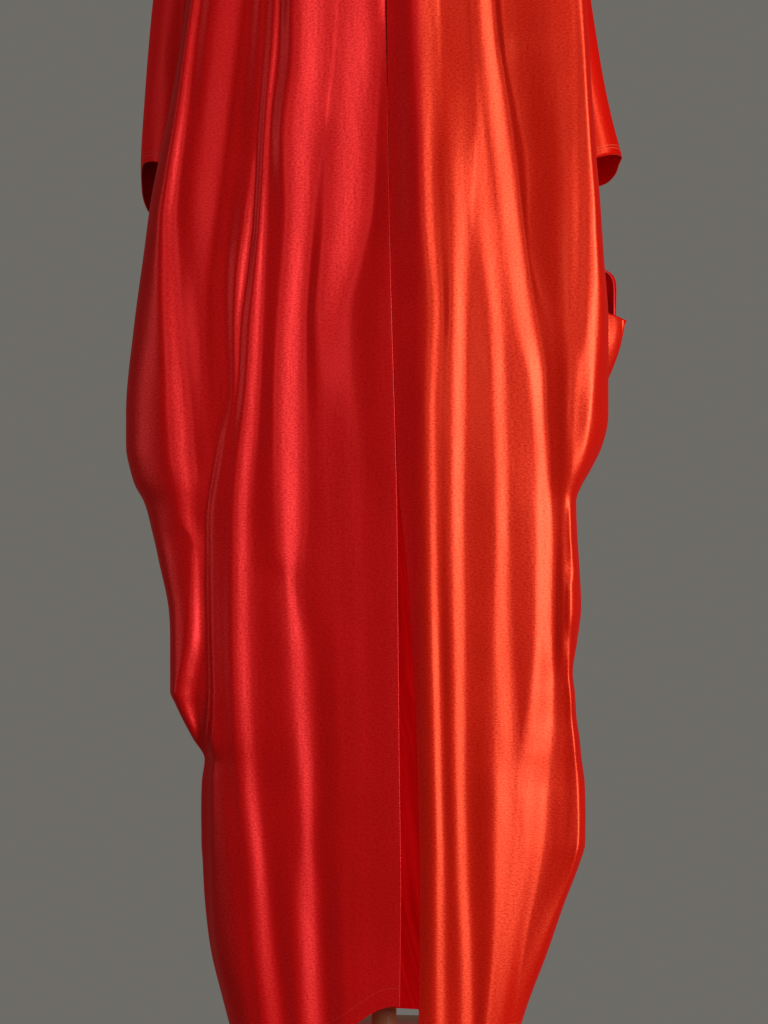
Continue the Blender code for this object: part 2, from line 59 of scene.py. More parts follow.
# ---------------------------------------------------------------- the cut of the garment
CLOTH = 0.0011  # satin wall as it shows
SEAM = 0.0003  # between panels that are sewn together
ARMHOLE_GAP = 0.0005
UNDERARM = 1.17
NECK_POINT = (0.085, 0.004, 1.452)  # the shoulder seam starts here
SHOULDER_POINT = (0.185, 0.000, 1.408)  # and ends here, at the top of the armhole
FRONT_NECK = (0.108, 1.330)  # depth and height of the neckline's lowest point
BACK_NECK = (0.072, 1.440)
FRONT_NECK_RISE, FRONT_NECK_HOLLOW, BACK_NECK_HOLLOW = 1.2, 3.4, 2.2  # powers: 1 is straight
NECK_SHARE = 0.42  # of a panel's width ends on the neckline, and the rest on the shoulder
ARC_SHARE = 0.86  # of a panel's width is its front or back arc, and the rest its side
SIDE_FLAT = 0.72  # share of the side in which the outline comes in to the seam
SLIT_CORNER_X, SLIT_CORNER_RISE = 0.016, 0.038  # the rounded lower corner of the slit
SLIT_CORNER_FLAT, SLIT_CORNER_REACH = 1.1, 0.075
SLIT_CORNER_HEIGHT = 0.20

Outline = namedtuple(
    "Outline",
    "height left right left_side right_side left_back right_back front_corner back_corner",
)
# Reaches of the front arc, the side seams and the back arc, then the corners' depths, in mm.
OUTLINES = [
    Outline(0.037, 149, 131, 147, 129, 144, 127, 30, 30),
    Outline(0.075, 159, 143, 157, 141, 154, 139, 30, 30),
    Outline(0.120, 170, 160, 168, 158, 165, 155, 30, 30),
    Outline(0.170, 176, 177, 174, 175, 171, 171, 32, 32),
    Outline(0.210, 178, 192, 176, 190, 173, 186, 35, 35),
    Outline(0.229, 179, 197, 177, 195, 174, 191, 36, 36),
    Outline(0.289, 178, 196, 176, 195, 176, 191, 38, 38),
    Outline(0.311, 175, 193, 173, 192, 176, 189, 40, 40),
    Outline(0.331, 186, 191, 183, 190, 181, 187, 41, 41),
    Outline(0.350, 196, 188, 192, 187, 186, 185, 42, 42),
    Outline(0.365, 203, 187, 199, 186, 189, 184, 43, 43),
    Outline(0.377, 208, 186, 204, 185, 192, 183, 44, 44),
    Outline(0.395, 208, 184, 204, 183, 193, 182, 44, 44),
    Outline(0.425, 208, 188, 204, 187, 195, 185, 45, 45),
    Outline(0.460, 210, 192, 206, 191, 198, 188, 45, 45),
    Outline(0.500, 219, 190, 214, 189, 204, 186, 45, 45),
    Outline(0.530, 226, 188, 221, 187, 209, 185, 45, 45),
    Outline(0.562, 235, 187, 230, 186, 215, 185, 45, 45),
    Outline(0.576, 243, 192, 237, 190, 219, 189, 46, 46),
    Outline(0.592, 248, 201, 243, 199, 223, 195, 48, 48),
    Outline(0.615, 252, 212, 247, 210, 227, 201, 50, 50),
    Outline(0.645, 252, 218, 246, 215, 229, 204, 51, 51),
    Outline(0.730, 244, 218, 234, 214, 220, 205, 55, 55),
    Outline(0.800, 234, 213, 200, 194, 196, 190, 65, 75),
    Outline(0.855, 226, 209, 162, 160, 178, 176, 76, 100),
    Outline(0.900, 217, 205, 156, 156, 172, 171, 77, 100),
    Outline(0.960, 205, 201, 154, 154, 168, 168, 78, 100),
    Outline(1.060, 191, 195, 152, 155, 164, 165, 72, 90),
    Outline(1.170, 181, 184, 152, 154, 160, 162, 66, 78),
]

DEPTHS = [  # height, how far the front and the back stand from the middle, in mm
    (0.037, 112, 112), (0.120, 116, 118), (0.300, 125, 131), (0.460, 131.5, 139),
    (0.640, 137, 143.5), (0.780, 138, 143.5), (0.960, 134.5, 136.5), (1.060, 132, 128),
    (1.170, 131, 118),
]

# ---------------------------------------------------------------- folds
# A fold is a slope that drops away towards the viewer's right.  Each row of one says, at a
# height in metres, where its middle lies, how wide it is, how far it drops and how far its
# middle stands out of the panel, in mm.  A negative drop slopes away to the left instead.
LEFT_FOLDS = {
    "soft fold by the seam": [
        (0.040, -30, 16, -2, 7), (0.300, -32, 18, -2, 5), (0.500, -36, 26, -2.6, 3),
        (0.580, -40, 32, -2.9, 1.4), (0.640, -44, 34, -2.0, 0.6), (0.690, -48, 32, 1.5, 0.4),
        (0.740, -50, 32, 4.5, 1), (0.790, -42, 38, 8, 1), (0.830, -35, 44, 9.6, 0.3),
        (0.880, -32, 46, 10, 0.4), (0.930, -30, 46, 10.2, 0), (0.980, -25.5, 42, 10.2, -0.2),
        (1.040, -24.5, 37, 8.6, 0.7), (1.170, -20, 38, 8.6, 0),
    ],
    "long soft fold": [
        (0.040, -68, 24, 7, 1), (0.100, -71, 24, 7, 1), (0.180, -74, 24, 6.8, 1),
        (0.240, -74, 16, 4.5, 1), (0.300, -75, 20, 5.5, 1), (0.370, -80, 24, 6, 1),
        (0.428, -84, 22, 6, 1), (0.455, -87, 18, 5, 1), (0.484, -90, 14, 4, 1), (0.510, -90, 22, 6, 2),
        (0.540, -89, 28, 7.5, 2), (0.640, -90, 30, 8, 2), (0.735, -88, 28, 7.5, 3),
        (0.830, -81, 26, 6.5, 6.6), (0.927, -76.5, 41, 9.9, 10.8), (0.980, -70, 38, 9.8, 11),
        (1.040, -68, 42, 11, 11.7), (1.170, -60, 38, 9, 9),
    ],
    "sharp pleat": [
        (0.040, -105, 20, 7.2, 2), (0.130, -115, 20, 7.4, 2), (0.220, -121.5, 18, 7, 2),
        (0.300, -130, 19, 6.2, 2), (0.370, -134, 20, 5.4, 3), (0.450, -136, 20, 5.6, 3),
        (0.540, -136, 17, 5, 3), (0.640, -128, 16, 4.4, 3), (0.735, -122, 13, 3.8, 4),
        (0.790, -119, 10, 3.5, 5), (0.830, -117, 9, 3.2, 6), (0.930, -111, 7, 2.8, 8),
        (1.000, -104, 6, 2.6, 8), (1.060, -100, 6, 2.4, 8), (1.170, -91, 8, 2.4, 7),
    ],
    "lens beside the pleat": [
        (0.040, -126, 8, 0, 4.4), (0.226, -146, 10, -0.5, 4), (0.322, -156, 10, -1.5, 1),
        (0.428, -160, 9, -4, -0.9), (0.540, -161, 10, -2.8, 0.8), (0.600, -154, 8, -2, 1.4),
        (0.670, -142, 5, 1, 0), (0.735, -140, 7, 2.7, 1), (0.790, -134, 12, 4, 2),
        (0.831, -128, 12, 3.6, 2), (0.870, -124, 8, 2, 2), (0.910, -121, 5, 0, 3),
        (1.170, -111, 5, 0, 4),
    ],
    "edge over the wing": [
        (0.040, -172, 5, 0, 0), (0.130, -172, 5, -9, -4), (0.300, -172, 5, -9, -4),
        (0.340, -168, 5, -10, -4), (0.380, -163, 5, -10, -3), (0.430, -157, 6, -8, -3),
        (0.480, -153, 7, -6, -3), (0.540, -150, 9, -4, -3), (0.620, -152, 14, -2, -3),
        (0.760, -158, 14, -1, -3), (0.850, -150, 8, -1, -2), (1.170, -116, 8, -1, -2),
    ],
    "broad fold under the arm": [
        (0.040, -178, 3, 0, 0), (0.130, -178, 3, 0, -9), (0.300, -178, 3, 0, -9),
        (0.450, -166, 3, 0, -7.5), (0.540, -166, 4, 0, -5.5), (0.640, -170, 6, 0, -4.5),
        (0.760, -175, 12, 0.5, -4), (0.850, -172, 26, 3, -2), (0.950, -160, 30, 5.5, -1),
        (1.060, -149, 32, 7, 0), (1.170, -135, 28, 6, 0),
    ],
    "wing fold": [
        (0.040, -180, 8, 0, 0), (0.130, -180, 8, 3, -6), (0.300, -180, 8, 3, -6),
        (0.325, -180, 10, 7, -6), (0.345, -187, 16, 12, -5), (0.372, -194, 22, 13, -4),
        (0.395, -189, 18, 11, -4), (0.428, -182, 15, 8.4, -4), (0.480, -181, 12, 6, -4),
        (0.505, -181, 9, 4.5, -3), (0.522, -182, 4, 2, -3), (0.540, -188, 13, 6, -2),
        (0.580, -191, 22, 9, 0), (0.600, -194, 26, 10.5, 0), (0.640, -197, 26, 10.5, 1),
        (0.680, -200, 22, 9.5, 2), (0.735, -204, 20, 9, 3), (0.780, -206, 20, 9.5, 3),
        (0.830, -207, 17, 9.5, 4), (0.870, -203, 14, 9, 4), (0.927, -195, 13, 9, 5),
        (1.010, -186, 12, 9, 5), (1.170, -160, 11, 7, 4),
    ],
}
RIGHT_FOLDS = {
    "fold beside the slit": [
        (0.040, 55, 13, 3.6, 5), (0.130, 54, 13, 3.6, 5), (0.200, 54, 12, 3.6, 5),
        (0.300, 52, 11, 3.5, 6), (0.428, 49, 11, 3.5, 9), (0.520, 47, 11, 3.0, 13.5),
        (0.640, 46, 11, 2.6, 16.5), (0.700, 48, 12, 2.6, 15.5), (0.740, 50, 12, 2.6, 13.5),
        (0.830, 43, 14, 3.3, 12), (0.930, 41, 17, 3.9, 7), (1.030, 39, 22, 5, 3),
        (1.170, 33, 22, 4.6, 3),
    ],
    "second fold": [
        (0.040, 80, 15, 4.4, 2), (0.130, 79, 15, 4.4, 2), (0.200, 76, 15, 4.3, 2.5),
        (0.300, 73, 15, 4.3, 4), (0.428, 72, 17, 4.7, 7.5), (0.540, 70, 17, 4.9, 11.5),
        (0.640, 71, 18, 5, 13.5), (0.740, 72, 18, 5, 11.5), (0.830, 73, 20, 5.2, 9),
        (0.880, 73, 26, 6, 6), (0.930, 72, 28, 4.5, 2), (1.030, 68, 26, 0.6, -1.5),
        (1.170, 60, 22, 0, 0),
    ],
    "inner belly fold": [
        (0.040, 102, 12, 4.2, 2), (0.130, 109.5, 13, 4.1, 1.7), (0.226, 114.5, 23, 6.8, 1.7),
        (0.284, 115.5, 25, 7, 1.8), (0.322, 116, 29, 6.4, 1.6), (0.370, 115, 26, 6, 1.5),
        (0.428, 113, 22, 5.6, 3), (0.520, 113, 17, 4.5, 6.5), (0.600, 112, 17, 4.5, 9.2),
        (0.680, 109, 18, 4.7, 9.2), (0.740, 107, 18, 4.7, 6.6), (0.830, 98, 22, 5.6, 2.5),
        (0.900, 92, 18, 3.4, -1), (0.960, 86, 14, 1.5, -1.5), (1.170, 76, 12, 0, 0),
    ],
    "outer belly fold": [
        (0.040, 116.5, 11, 4, -3.1), (0.130, 128, 16, 5, -4.2), (0.226, 142, 24, 7.2, -6.6),
        (0.284, 145, 26, 7.4, -6.7), (0.322, 146, 30, 6.2, -4.7), (0.370, 150, 23, 4.8, -2.9),
        (0.428, 152.5, 17, 3.7, -1.4), (0.540, 152.5, 16, 3.5, 2.4), (0.600, 151, 15, 3.5, 3.2),
        (0.640, 148, 15, 3.7, 3.4), (0.690, 144, 18, 5.2, 2.4), (0.735, 134, 23, 6, 0.6),
        (0.830, 122, 24, 6.8, -4), (0.930, 110, 22, 6.3, -6), (1.030, 98, 20, 5.6, -4),
        (1.170, 88, 20, 5, -3),
    ],
    "hairline crease": [
        (0.040, 124, 2, 0, -5), (0.130, 140, 3, -0.8, -5.6), (0.226, 160, 4, -0.4, -9.9),
        (0.284, 164.5, 5, -0.5, -10.2), (0.322, 165, 4, -0.6, -7.4), (0.395, 165, 3, -0.7, -4),
        (0.428, 164, 3, -0.3, -3), (0.540, 164, 3, -0.8, 1.2), (0.600, 163, 4, -1.6, 3.4),
        (0.640, 161, 4, -1.4, 3.4), (0.690, 160, 4, -1.2, 1.8), (0.735, 155, 4, -1, -0.2),
        (0.800, 140, 4, 0, -4.5), (0.900, 136, 4, 0, -6), (0.930, 130, 4, 0, -6.9),
        (0.960, 124, 4, 0.3, -6.6), (0.985, 119, 4, 1, -6), (1.010, 116, 4, 1.5, -4),
        (1.060, 112, 4, 1.5, -4), (1.170, 101, 5, 1, -3),
    ],
    "fold above the pocket": [
        (0.040, 126.5, 2, 0, -4.4), (0.130, 147, 4, -1.2, -3.6), (0.226, 171, 4, -1.8, -6.6),
        (0.284, 175, 4, -1.4, -7.9), (0.322, 174, 4, -1.8, -4.6), (0.395, 173, 4, -2.6, 0.8),
        (0.430, 173, 4, -0.5, 3.4), (0.540, 175, 4, -0.8, 6.6), (0.570, 176, 4, -1, 8.4),
        (0.600, 177, 4, -1, 9.6), (0.640, 176, 4, -0.8, 9.4), (0.690, 180, 6, -0.8, 8),
        (0.735, 181, 8, -0.6, 5.4), (0.790, 181, 11, -0.2, 4.8), (0.830, 182, 10, -0.2, 5.2),
        (0.930, 181, 10, -1.3, 5), (1.030, 179, 9, -1.6, 5), (1.170, 168, 9, -1.5, 4),
    ],
    "edge fold": [
        (0.040, 129, 2, 0, -3.8), (0.130, 156, 5, -1.6, -0.2), (0.226, 185, 8, -7, 2.5),
        (0.284, 187, 6, -5, 0), (0.322, 184, 6, -6, 3.2), (0.395, 181, 4, -4, 8.6),
        (0.424, 182, 6, 0, 5.5), (0.455, 180, 10, 0, 9), (0.478, 181, 10, 0, 9), (0.495, 185, 4, 0, 9),
        (0.505, 183, 3, 0, 10), (0.530, 180, 4, 0, 11), (0.552, 180, 4, 0, 11), (0.564, 183, 4, 0, 10),
        (0.590, 185, 10, 0, 10.2), (0.640, 191, 12, -1.5, 10.4), (0.690, 197, 13, -0.6, 8.6),
        (0.735, 202, 16, -1, 8.5), (0.790, 203, 14, -3.6, 9.4), (0.830, 203, 9, -2.6, 10),
        (0.930, 197.5, 8, -2.9, 10.6), (1.030, 193.5, 7, -2.6, 9.8), (1.170, 178, 7, -2.6, 8),
    ],
}
BACK_LEFT_FOLDS = {
    "centre back": [
        (0.040, -14, 24, 8, 0), (0.450, -18, 30, 9, 0), (0.850, -12, 26, 8, 1), (1.170, -8, 18, 5, 1),
    ],
    "second pleat": [
        (0.040, -50, 20, -9, 1), (0.350, -60, 28, -11, 1), (0.600, -62, 26, -9, 1),
        (0.850, -50, 24, -9, 1), (1.170, -40, 20, -6, 1),
    ],
    "third pleat": [
        (0.040, -84, 20, 9, 1), (0.400, -104, 30, 11, 1), (0.700, -104, 30, 9, 1),
        (0.950, -84, 22, 8, 1), (1.170, -72, 18, 5, 1),
    ],
    "side pleat": [
        (0.040, -116, 16, -8, 0), (0.400, -152, 22, -10, 0), (0.700, -160, 28, -10, 0),
        (0.950, -126, 18, -8, 0), (1.170, -112, 16, -5, 0),
    ],
}
BACK_RIGHT_FOLDS = {
    "soft drop": [
        (0.040, 24, 26, 8, 0), (0.400, 26, 30, 10, 0), (0.800, 22, 30, 8, 0), (1.170, 20, 20, 5, 0),
    ],
    "long pleat": [
        (0.040, 60, 18, -9, 1), (0.300, 66, 26, -11, 1), (0.620, 58, 24, -10, 1),
        (0.900, 54, 24, -9, 1), (1.170, 48, 20, -6, 1),
    ],
    "short pleat": [
        (0.040, 88, 16, 7, 1), (0.350, 108, 26, 11, 1), (0.560, 104, 22, 6, 1), (0.700, 98, 20, 2, 1),
        (0.900, 84, 20, 5, 1), (1.170, 76, 16, 5, 1),
    ],
    "side pleat": [
        (0.040, 106, 14, -7, 0), (0.350, 150, 22, -9, 0), (0.700, 148, 26, -11, 0),
        (0.950, 128, 20, -8, 0), (1.170, 112, 16, -5, 0),
    ],
}
SEAM_LEVELS = [  # how far the centre seam and slit edges stand out: height, left, right
    (0.040, 12, 2), (0.200, 11, 2), (0.350, 10, 3), (0.450, 10, 5), (0.520, 9.5, 8),
    (0.620, 9, 8), (0.740, 6, 6), (0.830, 1, 1), (0.930, -3, -3), (1.060, -5.8, -4), (1.170, -3, -3),
]
SQUARENESS = [  # of the left and right front arcs: height, left, right
    (0.040, 4.5, 5.0), (0.280, 6.0, 6.0), (0.350, 8.5, 6.0), (0.430, 8.0, 7.0), (0.520, 5.5, 7.0),
    (0.800, 5.0, 7.0), (1.170, 4.5, 7.0),
]
SEAM_X = [  # where the centre seam and the left slit edge hang: height, x
    (0.040, 15.5), (0.180, 16.5), (0.310, 15), (0.430, 13.8), (0.560, 12.5), (0.660, 10),
    (0.760, 7), (0.900, 4), (1.060, 2), (1.170, 0),
]
SLIT_GAP = [  # how far the slit has opened: height, gap
    (0.040, 17.5), (0.180, 17.5), (0.275, 17), (0.351, 15.5), (0.428, 12.5), (0.505, 7.5),
    (0.560, 2), (0.585, 0),
]

Cuff = namedtuple("Cuff", "inner outer front back front_height back_height tilt")
# head and flare are how far the outer line swells below the shoulder and above the cuff, and
# hang is how straight the sleeve comes down to its cuff.
Sleeve = namedtuple("Sleeve", "side cuff head flare hang")
SLEEVES = {
    "left": Sleeve(-1, Cuff(0.176, 0.2455, 0.042, 0.084, 0.8985, 0.843, 0.018), -0.020, -0.003, 0.15),
    "right": Sleeve(1, Cuff(0.174, 0.238, 0.041, 0.078, 0.905, 0.883, 0.018), 0.010, 0.074, 0.55),
}
CUFF_SQUARENESS = 0.7  # 1 is an ellipse, and less is squarer
CUFF_PIVOT = 0.8  # the share of the cuff's width about which its front edge tilts
CUFF_BACK_DROP = 1.6  # power: more keeps the front level for longer
SLEEVE_HEAD = 0.020  # how far a sleeve stands out at its armhole
CREASE_DEPTH, CREASE_SIZE, CREASE_TURN = 1.6, 0.018, 0.04  # depth in mm
SLEEVE_FOLD, SLEEVE_FOLDS, SLEEVE_TWIST = 2.2, 3, 5  # depth in mm, how many, and their turn
SLEEVE_QUIET = 0.08  # the share by the armhole in which the waves start
SLEEVE_TURNS, SLEEVE_RINGS, ARMHOLE_STEPS = 73, 96, 61
CUFF_EDGE = (0.985, 0.993, 1.0)  # the last rings are close and keep the hem crisp

POCKET_TOP, POCKET_MIDDLE, POCKET_FOOT = 0.798, 0.750, 0.672  # tops of back and front lips
LIP_WALL, LIP_STEPS = 0.0015, 33
FRONT_LIP_SEAM, BACK_LIP_SEAM = 0.95, 0.96  # shares of the side where the lips are sewn on
FRONT_LIP_SEAT, BACK_LIP_SEAT = 0.0006, -0.0006
FRONT_LIP = 0.0285  # how far the front lip stands off
FRONT_LIP_WIDTH, BACK_LIP_WIDTH = 0.56, 0.62  # shares of the side that they cover
FRONT_LIP_ROLL, FRONT_LIP_DROOP = 0.0016, 0.008
BACK_LIP_REACH = 0.2285  # how far the back lip's edge stands from the middle
BACK_LIP_FULLNESS = 1.1


# ---------------------------------------------------------------- arithmetic
def smooth(t):
    t = np.clip(t, 0.0, 1.0)
    return t * t * (3.0 - 2.0 * t)


def curve_through(heights, values, z):
    """A smooth curve through values at rising heights, level at its peaks and dips, read at z."""
    h = np.asarray(heights, float)
    v = np.asarray(values, float)
    step = np.diff(v) / np.diff(h)
    slope = np.concatenate([[step[0]], (step[:-1] + step[1:]) / 2, [step[-1]]])
    turning = np.concatenate([[False], step[:-1] * step[1:] <= 0, [False]])
    slope[turning] = 0.0
    z = min(max(z, h[0]), h[-1])
    i = min(int(np.searchsorted(h, z, side="right")) - 1, len(h) - 2)
    gap = h[i + 1] - h[i]
    t = (z - h[i]) / gap
    return (
        v[i] * (1 + 2 * t) * (1 - t) ** 2
        + v[i + 1] * t * t * (3 - 2 * t)
        + gap * (slope[i] * t * (1 - t) ** 2 - slope[i + 1] * t * t * (1 - t))
    )


def between(start, leave, arrive, end, t):
    """A cubic from start to end, which sets out towards leave and comes in from arrive."""
    w = 1 - t
    return w**3 * start + 3 * w * w * t * leave + 3 * w * t * t * arrive + t**3 * end


def read_rows(rows, z):
    """Every column of a table of rows whose first column is a height, read at z."""
    columns = list(zip(*rows))
    return [curve_through(columns[0], column, z) for column in columns[1:]]


def ripple(x, y, z, size, seed):
    """Soft noise, -1 to 1: waves about size wide and five times as tall."""
    return noise.noise(Vector((x / size, y / size, z / (5 * size) + seed)))


# ---------------------------------------------------------------- panels
SOFT_STEP = 0.0006
SOFT_WIDTH = 0.0021  # folds are softened over about this distance
SOFT_REACH = np.arange(-12, 13) * SOFT_STEP
SOFTENING = np.exp(-(SOFT_REACH / SOFT_WIDTH) ** 2 / 2)
SOFTENING /= SOFTENING.sum()
# Columns across a fold, between two folds, by the inner edge, by the outer end and on the side.
BAND_STEPS, GAP_STEPS, EDGE_STEPS, OUTER_STEPS, SIDE_STEPS = 7, 6, 9, 14, 9
EDGE_SHARE = 0.018  # a column beside each free edge keeps its shading crisp
LAST_NODE, NODE_ROOM = 0.994, 0.006  # shares of the reach: where folds stop, and room for each
NODE_EASE = 0.004  # folds slow down over this distance before they stop
LEAST_STEP, LEAST_SHARE = 0.0012, 0.0055  # between nodes: a distance, or a share of the reach
BACK_MIDDLE_RISE, BACK_SQUARENESS = 5 * MM, 3.0
EDGE_EASE = 0.006  # folds stay crisp this near to a panel's edges
STRAIGHT, EASED = 0.58, 0.42  # what a slope between nodes is made of
MARGIN = 0.012  # how far past a panel's edges its folds are worked out
LEAN, LEAN_EASE = 0.25, 0.15  # how far folds lean out along the arc, and where they cease to
INNER_QUIET, OUTER_QUIET = 0.05, 0.06  # shares of the arc that stay free of ripples
FINE_RIPPLE, BROAD_RIPPLE = (0.20, 0.018), (0.8, 0.060)  # how deep, in mm, and how wide
YOKE_RISE, YOKE_SIDE_LOSS = 0.42, 0.14  # how straight the yoke starts up from the underarm
YOKE_SIDE_SWELL = 0.070  # how far it bows out beside the armhole
NECK_ROLL, SHOULDER_ROLL, NECK_DROP = 0.012, 0.068, 0.060  # how it comes to its upper edge
SHOULDER_START, SHOULDER_EASE = 0.16, 0.24  # shares of the width where neck turns to shoulder


class Panel:
    """Half of the front or back, as rings of points at rising heights."""

    def __init__(self, side, facing, folds, seed, slit=False, rounded_corner=False):
        self.side, self.facing, self.folds, self.seed = side, facing, list(folds.values()), seed
        self.slit, self.rounded_corner = slit, rounded_corner
        steps = [EDGE_STEPS] + ([BAND_STEPS, GAP_STEPS] * len(self.folds))[:-1] + [OUTER_STEPS]
        self.columns = [k + f / n for k, n in enumerate(steps) for f in range(n)]
        self.columns.insert(1, EDGE_SHARE)
        self.last = len(steps)
        self.columns += [self.last + f / SIDE_STEPS for f in range(SIDE_STEPS + 1)]
        self.rings = {}

    def outline(self, z):
        s = Outline(z, *(v * MM for v in read_rows(OUTLINES, z)))
        front, back = (v * MM for v in read_rows(DEPTHS, z))
        if self.facing < 0:
            reach, seam = (s.left, s.left_side) if self.side < 0 else (s.right, s.right_side)
            return reach, seam, front, s.front_corner
        reach, seam = (s.left_back, s.left_side) if self.side < 0 else (s.right_back, s.right_side)
        return reach, seam, back, s.back_corner

    def nodes(self, z, reach):
        """Outward distance and rise of the inner edge and of every crest and valley."""
        if self.facing < 0:
            x = read_rows(SEAM_X, z)[0] * MM
            if self.slit:
                x += read_rows(SLIT_GAP, z)[0] * MM
            x += self.side * SEAM / 2
            rise = read_rows(SEAM_LEVELS, z)[0 if self.side < 0 else 1] * MM
        else:
            x, rise = 0.0, BACK_MIDDLE_RISE
        out, rises = [self.side * x], [rise]
        for rows in self.folds:
            x, width, drop, level = (v * MM for v in read_rows(rows, z))
            out += [self.side * x - width / 2, self.side * x + width / 2]
            rises += [level + self.side * drop / 2, level - self.side * drop / 2]
        count = len(out)
        for k in range(1, count):
            limit = reach * (LAST_NODE - NODE_ROOM * (count - 1 - k))
            over = (out[k] - limit) / NODE_EASE
            out[k] = limit + NODE_EASE * (over if over < -4 else -math.log1p(math.exp(-over)))
            out[k] = max(out[k], out[k - 1] + min(LEAST_STEP, LEAST_SHARE * reach))
        return np.array(out + [reach]), np.array(rises + [0.0])

    def ring(self, z):
        """Arrays of x, y and share of the width for every column at height z."""
        if z in self.rings:
            return self.rings[z]
        reach, seam, depth, corner = self.outline(z)
        out, rises = self.nodes(z, reach)
        inner = out[0]
        power = BACK_SQUARENESS
        if self.facing < 0:
            power = read_rows(SQUARENESS, z)[0 if self.side < 0 else 1]
        fine = np.arange(inner - MARGIN, reach + MARGIN, SOFT_STEP)
        soft = np.convolve(self.profile(out, rises, fine), SOFTENING, "same")
        points = []
        for column in self.columns:
            k = int(column)
            f = column - k
            if column < self.last:
                bend = math.sin(f * math.pi / 2) if k == self.last - 1 else f
                distance = out[k] + (out[k + 1] - out[k]) * bend
                hard = float(self.profile(out, rises, np.array([distance]))[0])
                from_inner, from_outer = distance - inner, reach - distance
                free = float(smooth(from_inner / EDGE_EASE) * smooth(from_outer / EDGE_EASE))
                rise = hard + (float(np.interp(distance, fine, soft)) - hard) * free
                points.append(self.arc_point(reach, corner, depth, inner, distance, rise, z, power))
            else:
                s = column - self.last
                x = self.side * (reach + (seam - reach) * float(smooth(s / SIDE_FLAT)))
                y = self.facing * (corner * (1 - s) + SEAM / 2 * s)
                points.append((x, y, ARC_SHARE + (1 - ARC_SHARE) * s))
        self.rings[z] = np.array(points).T
        return self.rings[z]

    @staticmethod
    def profile(out, rises, distance):
        """The rise at each distance: between nodes, part straight slope and part eased slope."""
        k = np.clip(np.searchsorted(out, distance, side="right") - 1, 0, len(out) - 2)
        f = np.clip((distance - out[k]) / (out[k + 1] - out[k]), 0, 1)
        eased = STRAIGHT * f + EASED * (1 - np.cos(math.pi * f)) / 2
        return rises[k] + (rises[k + 1] - rises[k]) * eased

    def arc_point(self, reach, corner, depth, inner, distance, rise, z, power):
        """A point of the arc, stood out towards the viewer, or away behind, by rise."""
        half = reach - inner
        share = min(max((distance - inner) / half, 0.0), 1.0)
        up = max(1.0 - share**power, 0.0) ** (1.0 / power)
        nx = share ** (power - 1) / abs(half)
        ny = up ** (power - 1) / (depth - corner)
        lean = LEAN * nx / math.hypot(nx, ny) * float(smooth((1 - share) / LEAN_EASE))
        quiet = float(smooth(share / INNER_QUIET)) * float(smooth((1 - share) / OUTER_QUIET))
        x = inner + half * share
        (fine, fine_size), (broad, broad_size) = FINE_RIPPLE, BROAD_RIPPLE
        rise += quiet * MM * (
            fine * ripple(self.side * x, 0, z, fine_size, self.seed)
            + broad * ripple(self.side * x, 9, z, broad_size, self.seed + 3)
        )
        px = self.side * (x + rise * lean)
        py = self.facing * (corner + (depth - corner) * up + rise)
        return px, py, ARC_SHARE * share

    def top_points(self, share):
        """Where the columns end: on the neckline, or on the shoulder seam."""
        nx, ny, nz = NECK_POINT
        sx, sy, sz = SHOULDER_POINT
        front = self.facing < 0
        depth, height = FRONT_NECK if front else BACK_NECK
        t = np.clip(share / NECK_SHARE, 0, 1)
        x = nx * (t if front else np.sin(t * math.pi / 2))
        bend = t**FRONT_NECK_RISE if front else 1 - np.cos(t * math.pi / 2)
        back_off = t**FRONT_NECK_HOLLOW if front else t**BACK_NECK_HOLLOW
        y = self.facing * depth * (1 - back_off) + ny * back_off
        z = height + (nz - height) * bend
        s = np.clip((share - NECK_SHARE) / (1 - NECK_SHARE), 0, 1)
        x, y, z = x + (sx - nx) * s, y + (sy - ny) * s, z + (sz - nz) * s
        return np.array([self.side * (x + SEAM / 2), y + self.facing * SEAM, z]).T

    def yoke(self, v):
        """The ring between the underarm, v = 0, and the neckline and shoulder seam, v = 1."""
        x, y, share = self.ring(UNDERARM)
        low = np.array([x, y, np.full_like(x, UNDERARM)]).T
        high = self.top_points(share)
        rise = high[:, 2] - low[:, 2]
        side_share = smooth((share - ARC_SHARE) / (1 - ARC_SHARE))
        on_shoulder = smooth((share - SHOULDER_START) / SHOULDER_EASE)
        zero = np.zeros_like(x)
        swell = self.facing * YOKE_SIDE_SWELL * side_share
        roll = self.facing * (NECK_ROLL + SHOULDER_ROLL * on_shoulder)
        leave = np.array([zero, swell, rise * (YOKE_RISE - YOKE_SIDE_LOSS * side_share)])
        arrive = np.array([zero, roll, -NECK_DROP * (1 - on_shoulder)])
        return between(low, low + leave.T, high + arrive.T, high, v)

    def points(self, levels):
        """One row of points for each level: a height up to the underarm, then underarm + v."""
        rows = []
        for level in levels:
            if level > UNDERARM:
                rows.append(self.yoke(level - UNDERARM))
                continue
            x, y, _ = self.ring(level)
            z = np.full_like(x, level)
            low = 1 - float(smooth((level - HEM) / SLIT_CORNER_HEIGHT))
            if self.rounded_corner:
                near = smooth(SLIT_CORNER_FLAT - abs(x - SLIT_CORNER_X) / SLIT_CORNER_REACH)
                z += SLIT_CORNER_RISE * near * low
            rows.append(np.array([x, y, z]).T)
        return np.array(rows)


